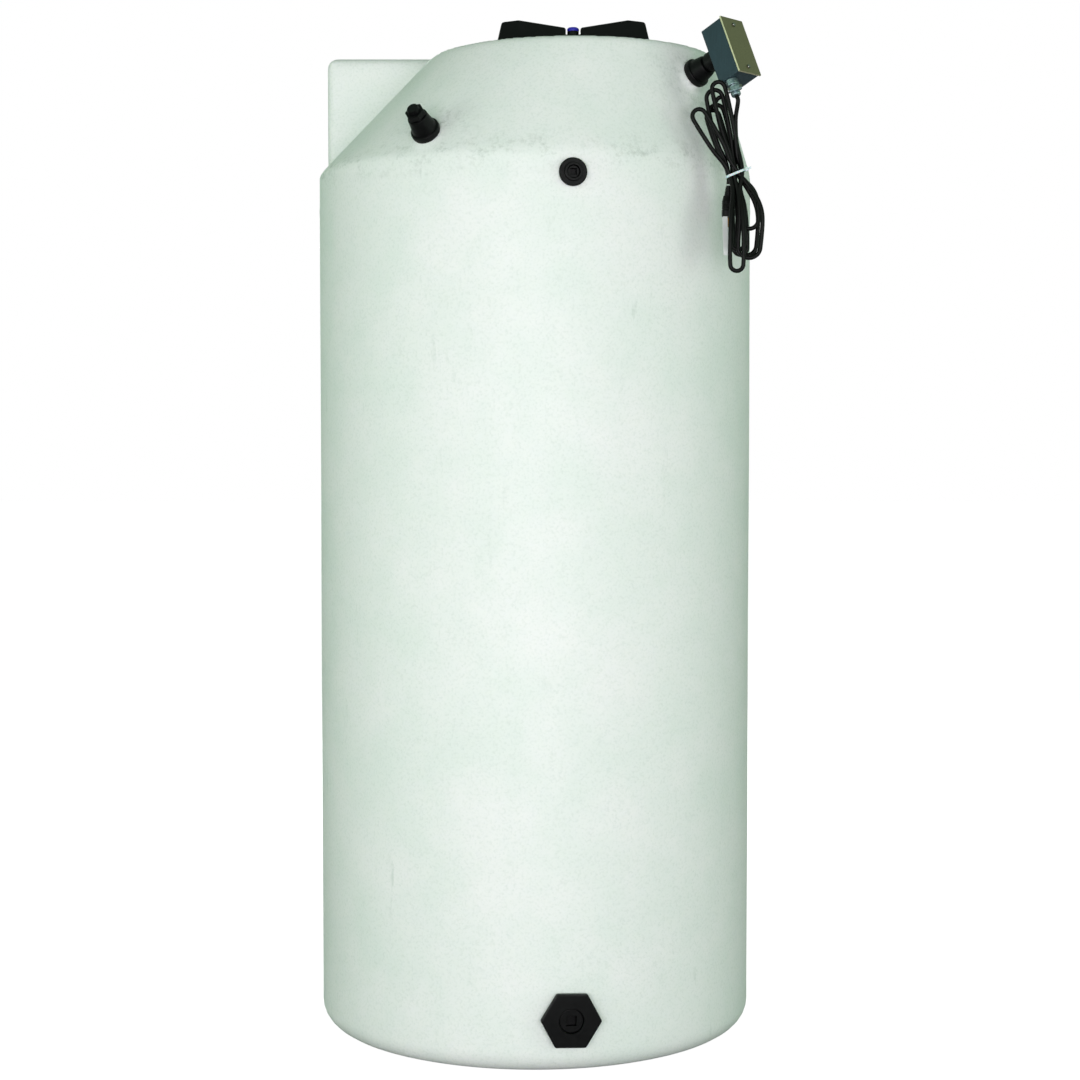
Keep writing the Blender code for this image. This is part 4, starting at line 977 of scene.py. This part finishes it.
class TANK_OT_shell(Operator):
    """Adds the one-piece moulded shell"""

    bl_idname = "tank.shell"
    bl_label = "Shell"

    CUT_HEIGHT = 1.615  # the fine upper part ends here
    VOXEL = 0.0075
    SEATS = ("outlet_gasket", "front_port_gasket", "shoulder_port_gasket", "heater_port_gasket")
    SEAT_MARGIN = 0.001  # a flat seat reaches this far past its gasket
    PAD_DEPTH = 0.030
    MANWAY_BORE = 0.196  # radius of the hole under the manway ring
    DRILL_REACH = 0.030  # a drill reaches this far to both sides of its seat
    DECK_FOOT = 0.060  # the deck starts this far under the shoulder line
    RING_CLEARANCE = 0.006  # between the manway ring and the recess that it makes in the deck
    STEP_HEIGHT = 0.26  # the wall's rings stand closer below this
    STEP = 0.02
    FLOOR_RADII = (0.30, 0.15, 0.05)  # the rings of the flat floor
    NEAR = 0.0016  # a softened point this near its true surface is put back on it
    PARTING_RISE, PARTING_WIDTH = 0.0007, 0.006

    def execute(self, context):
        size = sizes()
        shell = self.upper_form(size)
        seats = [seat_of(node) for node in self.SEATS]
        pads = []
        for k, seat in enumerate(seats[1:]):
            out = seat["radius"] + self.SEAT_MARGIN
            profile = [(0.0, 0.0), (out, 0.0), (out, -self.PAD_DEPTH), (0.0, -self.PAD_DEPTH)]
            pads.append(turned(f"pad_{k}", profile, 48, facing(seat["face"], seat["axis"])))
        absorb(shell, *pads)
        remesh = shell.modifiers.new("moulded", "REMESH")
        remesh.mode = "VOXEL"
        remesh.voxel_size = self.VOXEL
        soften = shell.modifiers.new("soft", "SMOOTH")
        soften.factor = 0.5
        soften.iterations = 4
        settled(shell)
        self.lengthen(shell, size)
        self.flatten_seats(shell, seats)
        ring_middle = (RING_LOW + RING_HIGH) / 2
        mouth = Vector((ring_middle.x, ring_middle.y, size.top_height))
        bores = [(mouth, Vector((0.0, 0.0, 1.0)), self.MANWAY_BORE)]
        bores += [(seat["middle"], seat["axis"], seat["bore"]) for seat in seats]
        self.open_bores(shell, bores)
        thick = shell.modifiers.new("wall", "SOLIDIFY")
        thick.thickness = size.wall
        thick.offset = -1.0
        settled(shell)
        shell.data.shade_smooth()
        shell.data.set_sharp_from_angle(angle=math.radians(50.0))
        stands_for(shell, "tank_shell")
        return {"FINISHED"}

    def upper_form(self, size):
        """The shoulder, the flat top and the deck as closed overlapping solids."""
        base = self.CUT_HEIGHT - 0.05
        profile = arcs(
            [
                (0.0, size.top_height, 0.0),
                (size.top_radius, size.top_height, size.top_edge),
                (size.body_radius, size.shoulder_height, size.shoulder_edge),
                (size.body_radius, base, 0.0),
                (0.0, base, 0.0),
            ]
        )
        form = turned("moulded_shell", profile, 192)
        shift = Vector(size.top_shift)
        rise = size.top_height - size.shoulder_height
        for vertex in form.data.vertices:
            vertex.co += shift * min(1.0, max(0.0, (vertex.co.z - size.shoulder_height) / rise))
        radius, front, end = size.deck_radius, size.deck_front, size.deck_end
        first = math.atan2(math.sqrt(radius**2 - end**2), end)
        last = math.atan2(front, -math.sqrt(radius**2 - front**2))
        outline = [(end, front)]
        for k in range(33):
            turn = first + (last - first) * k / 32
            outline.append((radius * math.cos(turn), radius * math.sin(turn)))
        deck = slab("deck", outline, size.shoulder_height - self.DECK_FOOT, SHELL_HIGH.z)
        bevelled(deck, size.deck_edge, 4)
        middle = (RING_LOW + RING_HIGH) / 2
        clear = (RING_HIGH.x - RING_LOW.x) / 2 + self.RING_CLEARANCE
        profile = [(0.0, 0.060), (clear, 0.060), (clear, -0.004), (0.0, -0.004)]
        place = Matrix.Translation((middle.x, middle.y, size.top_height))
        carved(deck, turned("recess", profile, 96, place))
        return absorb(form, deck)

    def lengthen(self, shell, size):
        """Runs the straight wall down to the base."""
        work = bmesh.new()
        work.from_mesh(shell.data)
        low = [v for v in work.verts if v.co.z < self.CUT_HEIGHT]
        bmesh.ops.delete(work, geom=low, context="VERTS")
        self.trim_edge(work, size)
        self.run_down(work, size)
        self.true_up(work, size)
        bmesh.ops.recalc_face_normals(work, faces=work.faces)
        work.to_mesh(shell.data)
        work.free()

    def trim_edge(self, work, size):
        """Sets the cut's edge level and truly round."""
        for vertex in work.verts:
            if vertex.is_boundary:
                flat = Vector((vertex.co.x, vertex.co.y)).normalized() * size.body_radius
                vertex.co = (flat.x, flat.y, self.CUT_HEIGHT)

    def run_down(self, work, size):
        """Extends the cut's edge down the wall, round the base edge and in to the middle."""
        fall = self.CUT_HEIGHT - self.STEP_HEIGHT
        levels = [(size.body_radius, self.CUT_HEIGHT - fall * k / 9) for k in range(1, 10)]
        levels += [(size.body_radius, self.STEP_HEIGHT - self.STEP * k) for k in range(1, 10)]
        for k in range(8):
            turn = math.radians(90.0 * k / 7)
            radius = size.body_radius - size.base_edge * (1 - math.cos(turn))
            levels.append((radius, size.base_edge * (1 - math.sin(turn))))
        levels += [(radius, 0.0) for radius in self.FLOOR_RADII]
        edge = [e for e in work.edges if e.is_boundary]
        for radius, height in levels:
            made = bmesh.ops.extrude_edge_only(work, edges=edge)["geom"]
            edge = [g for g in made if isinstance(g, bmesh.types.BMEdge) and g.is_boundary]
            for vertex in {v for e in edge for v in e.verts}:
                flat = Vector((vertex.co.x, vertex.co.y)).normalized() * radius
                vertex.co = (flat.x, flat.y, height)
        bmesh.ops.contextual_create(work, geom=edge)

    def true_up(self, work, size):
        """Makes the wall round, with the mould's own slow waves and parting line, and the top flat."""
        wall_top = size.shoulder_height - 0.004
        for vertex in work.verts:
            x, y, z = vertex.co
            radius = math.hypot(x, y)
            if abs(radius - size.body_radius) < self.NEAR and size.base_edge < z < wall_top:
                turn = math.atan2(y, x)
                wave = 0.00035 * math.sin(3 * turn + 2.1 * z) * math.sin(5.2 * z + 1.0)
                wave += 0.00022 * math.sin(7 * turn - 1.3) * math.sin(9.0 * z)
                away = (z - size.parting_height) / self.PARTING_WIDTH
                line = self.PARTING_RISE * math.exp(-(away**2))
                wanted = size.body_radius + wave + line
                vertex.co.x, vertex.co.y = x * wanted / radius, y * wanted / radius
            elif abs(z - size.top_height) < self.NEAR:
                vertex.co.z = size.top_height

    def flatten_seats(self, shell, seats):
        """Makes each fitting's seat flat again after the softening."""
        for vertex in shell.data.vertices:
            for seat in seats[1:]:
                away = vertex.co - seat["face"]
                along = away.dot(seat["axis"])
                aside = (away - seat["axis"] * along).length
                if abs(along) < 0.006 and aside < seat["radius"] + 0.0015:
                    vertex.co = vertex.co - seat["axis"] * along

    def open_bores(self, shell, bores):
        """Sinks a round pocket at each bore, then removes the pocket's own faces."""
        reach = self.DRILL_REACH
        drills = []
        for k, (middle, axis, radius) in enumerate(bores):
            steps = 96 if k == 0 else 40
            profile = [(0.0, reach), (radius, reach), (radius, -reach), (0.0, -reach)]
            drills.append(turned(f"drill_{k}", profile, steps, facing(middle, axis)))
        carved(shell, absorb(*drills))
        work = bmesh.new()
        work.from_mesh(shell.data)
        pocket = []
        for face in work.faces:
            centre = face.calc_center_median()
            for middle, axis, radius in bores:
                away = centre - middle
                along = away.dot(axis)
                if abs(along) < reach * 1.01 and (away - axis * along).length < radius * 1.0002:
                    pocket.append(face)
        bmesh.ops.delete(work, geom=list(set(pocket)), context="FACES")
        work.to_mesh(shell.data)
        work.free()


# ---------------------------------------------------------------- lid, fittings, box


def copy_of(node, name):
    """A new piece with a CAD node's shape, its flat faces whole again."""
    work = bmesh.new()
    work.from_mesh(frame["nodes"][node].data)
    bmesh.ops.remove_doubles(work, verts=work.verts, dist=1e-5)
    bmesh.ops.dissolve_limit(work, angle_limit=math.radians(0.6), verts=work.verts, edges=work.edges)
    mesh = bpy.data.meshes.new(name)
    work.to_mesh(mesh)
    work.free()
    return mesh_object(name, mesh)


def eased(node, name, width):
    """The CAD node's own shape with its moulded or pressed edges eased."""
    piece = copy_of(node, name)
    bevelled(piece, width, angle=32.0)
    return smooth(piece, 30.0)


class TANK_OT_lid(Operator):
    """Adds the manway ring, the lid with its grips, and the vent"""

    bl_idname = "tank.lid"
    bl_label = "Manway lid"

    SEAL_GAP = 0.0003  # the plate lies this far above the seal
    PLATE = 0.006
    # Radius and height above the plate, run down the outer side and back up the inner one.
    BEAD = ((0.1768, 0.0022), (0.1812, 0.0022), (0.182, -0.001), (0.176, -0.001))
    HUB = ((0.0205, 0.0035), (0.0225, 0.0028), (0.0240, -0.001), (0.0130, -0.001), (0.0130, 0.0035))
    RIB_INSET = 0.0004
    RIB = ((-0.006, -0.0022), (0.0004, -0.0015), (0.0004, 0.0015), (-0.006, 0.0022))
    RIB_LOW, RIB_HIGH = -0.0055, 0.0011

    def execute(self, context):
        stands_for(eased("manway_ring", "manway_ring_moulding", 0.0012), "manway_ring")
        lid = eased("manway_lid", "manway_lid_moulding", 0.0016)
        middle = (LID_LOW + LID_HIGH) / 2
        seal_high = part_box("lid_gasket")[1].z
        plate_high = seal_high + self.SEAL_GAP + self.PLATE
        spin = Matrix.Translation((middle.x, middle.y, plate_high))
        bead = turned("bead", self.BEAD, 96, spin, closed=True)
        hub = turned("hub", self.HUB, 48, spin, closed=True)
        ribs = []
        out = (LID_HIGH.x - LID_LOW.x) / 2 - self.RIB_INSET
        outline = [(out + x, y) for x, y in self.RIB]
        count = sizes().rim_grips
        for k in range(count):
            turn = 2 * math.pi * k / count
            rib = slab("rib", outline, self.RIB_LOW, self.RIB_HIGH)
            rib.data.transform(spin @ Matrix.Rotation(turn, 4, "Z"))
            ribs.append(rib)
        absorb(lid, bead, hub, *ribs)
        smooth(lid, 30.0)
        stands_for(lid, "manway_lid")
        stands_for(eased("vent_body", "vent_body_moulding", 0.0008), "vent_body")
        stands_for(eased("vent_cap", "vent_cap_moulding", 0.0010), "vent_cap")
        return {"FINISHED"}


class TANK_OT_fittings(Operator):
    """Adds the bulkhead fittings and their plugs"""

    bl_idname = "tank.fittings"
    bl_label = "Fittings"

    EASED = {
        "outlet_body": 0.0016,
        "outlet_plug": 0.0008,
        "front_port_body": 0.0009,
        "front_port_plug": 0.0006,
        "shoulder_port_body": 0.0010,
        "shoulder_port_plug": 0.0009,
        "heater_port_body": 0.0010,
        "heater_bushing": 0.0009,
    }

    def execute(self, context):
        for node, width in self.EASED.items():
            stands_for(eased(node, node + "_moulding", width), node)
        return {"FINISHED"}


class TANK_OT_heater_box(Operator):
    """Adds the heater's junction box, its cover and the cord connector"""

    bl_idname = "tank.heater_box"
    bl_label = "Heater box"

    EASED = {"box_cover": 0.0018, "cord_connector": 0.0007, "clamp_bar": 0.0006, "thermostat": 0.0006}

    def execute(self, context):
        stands_for(eased("junction_box", "junction_box_pressing", 0.0009), "junction_box")
        for node, width in self.EASED.items():
            piece = stands_for(eased(node, node + "_finished", width), node)
            if node == "box_cover":
                self.painted_highlight_edges(piece)
        return {"FINISHED"}

    def painted_highlight_edges(self, piece):
        """Paints a highlight on the edges of the cover sheet: they get a brighter copy of its metal than
        its face.
        """
        # Painted highlight: a pale, bright metal on the cover's edge faces.
        piece.data.materials.append(bright_metal("painted_highlight_edge", "F4E8C8", 0.42))
        broad = max(piece.data.polygons, key=lambda face: face.area).normal.copy()
        for face in piece.data.polygons:
            if abs(face.normal.dot(broad)) < 0.80:
                face.material_index = 1


class TANK_OT_finishes(Operator):
    """Gives every part of the frame its finish"""

    bl_idname = "tank.finishes"
    bl_label = "Finishes"

    def execute(self, context):
        for node, slot in SLOTS.items():
            dressed(frame["nodes"][node], slot)
        return {"FINISHED"}


class TANK_PT_panel(Panel):
    """Lists the steps and the sizes"""

    bl_label = "Milk Tank"
    bl_idname = "TANK_PT_panel"
    bl_space_type = "VIEW_3D"
    bl_region_type = "UI"
    bl_category = "Milk Tank"

    def draw(self, context):
        for step in STEPS:
            self.layout.operator(f"tank.{step}")
        for group in (context.scene.tank_sizes, context.scene.tank_colours):
            for name in group.__annotations__:
                self.layout.prop(group, name)


STEPS = ("stage", "finishes", "cord", "shell", "lid", "fittings", "heater_box")
CLASSES = (
    TankSizes,
    TankColours,
    TANK_OT_stage,
    TANK_OT_finishes,
    TANK_OT_cord,
    TANK_OT_shell,
    TANK_OT_lid,
    TANK_OT_fittings,
    TANK_OT_heater_box,
    TANK_PT_panel,
)


def register():
    for kind in CLASSES:
        bpy.utils.register_class(kind)
    bpy.types.Scene.tank_sizes = PointerProperty(type=TankSizes)
    bpy.types.Scene.tank_colours = PointerProperty(type=TankColours)


def unregister():
    del bpy.types.Scene.tank_colours
    del bpy.types.Scene.tank_sizes
    for kind in reversed(CLASSES):
        bpy.utils.unregister_class(kind)


def main():
    register()
    for step in STEPS:
        getattr(bpy.ops.tank, step)()


if __name__ == "__main__":
    main()
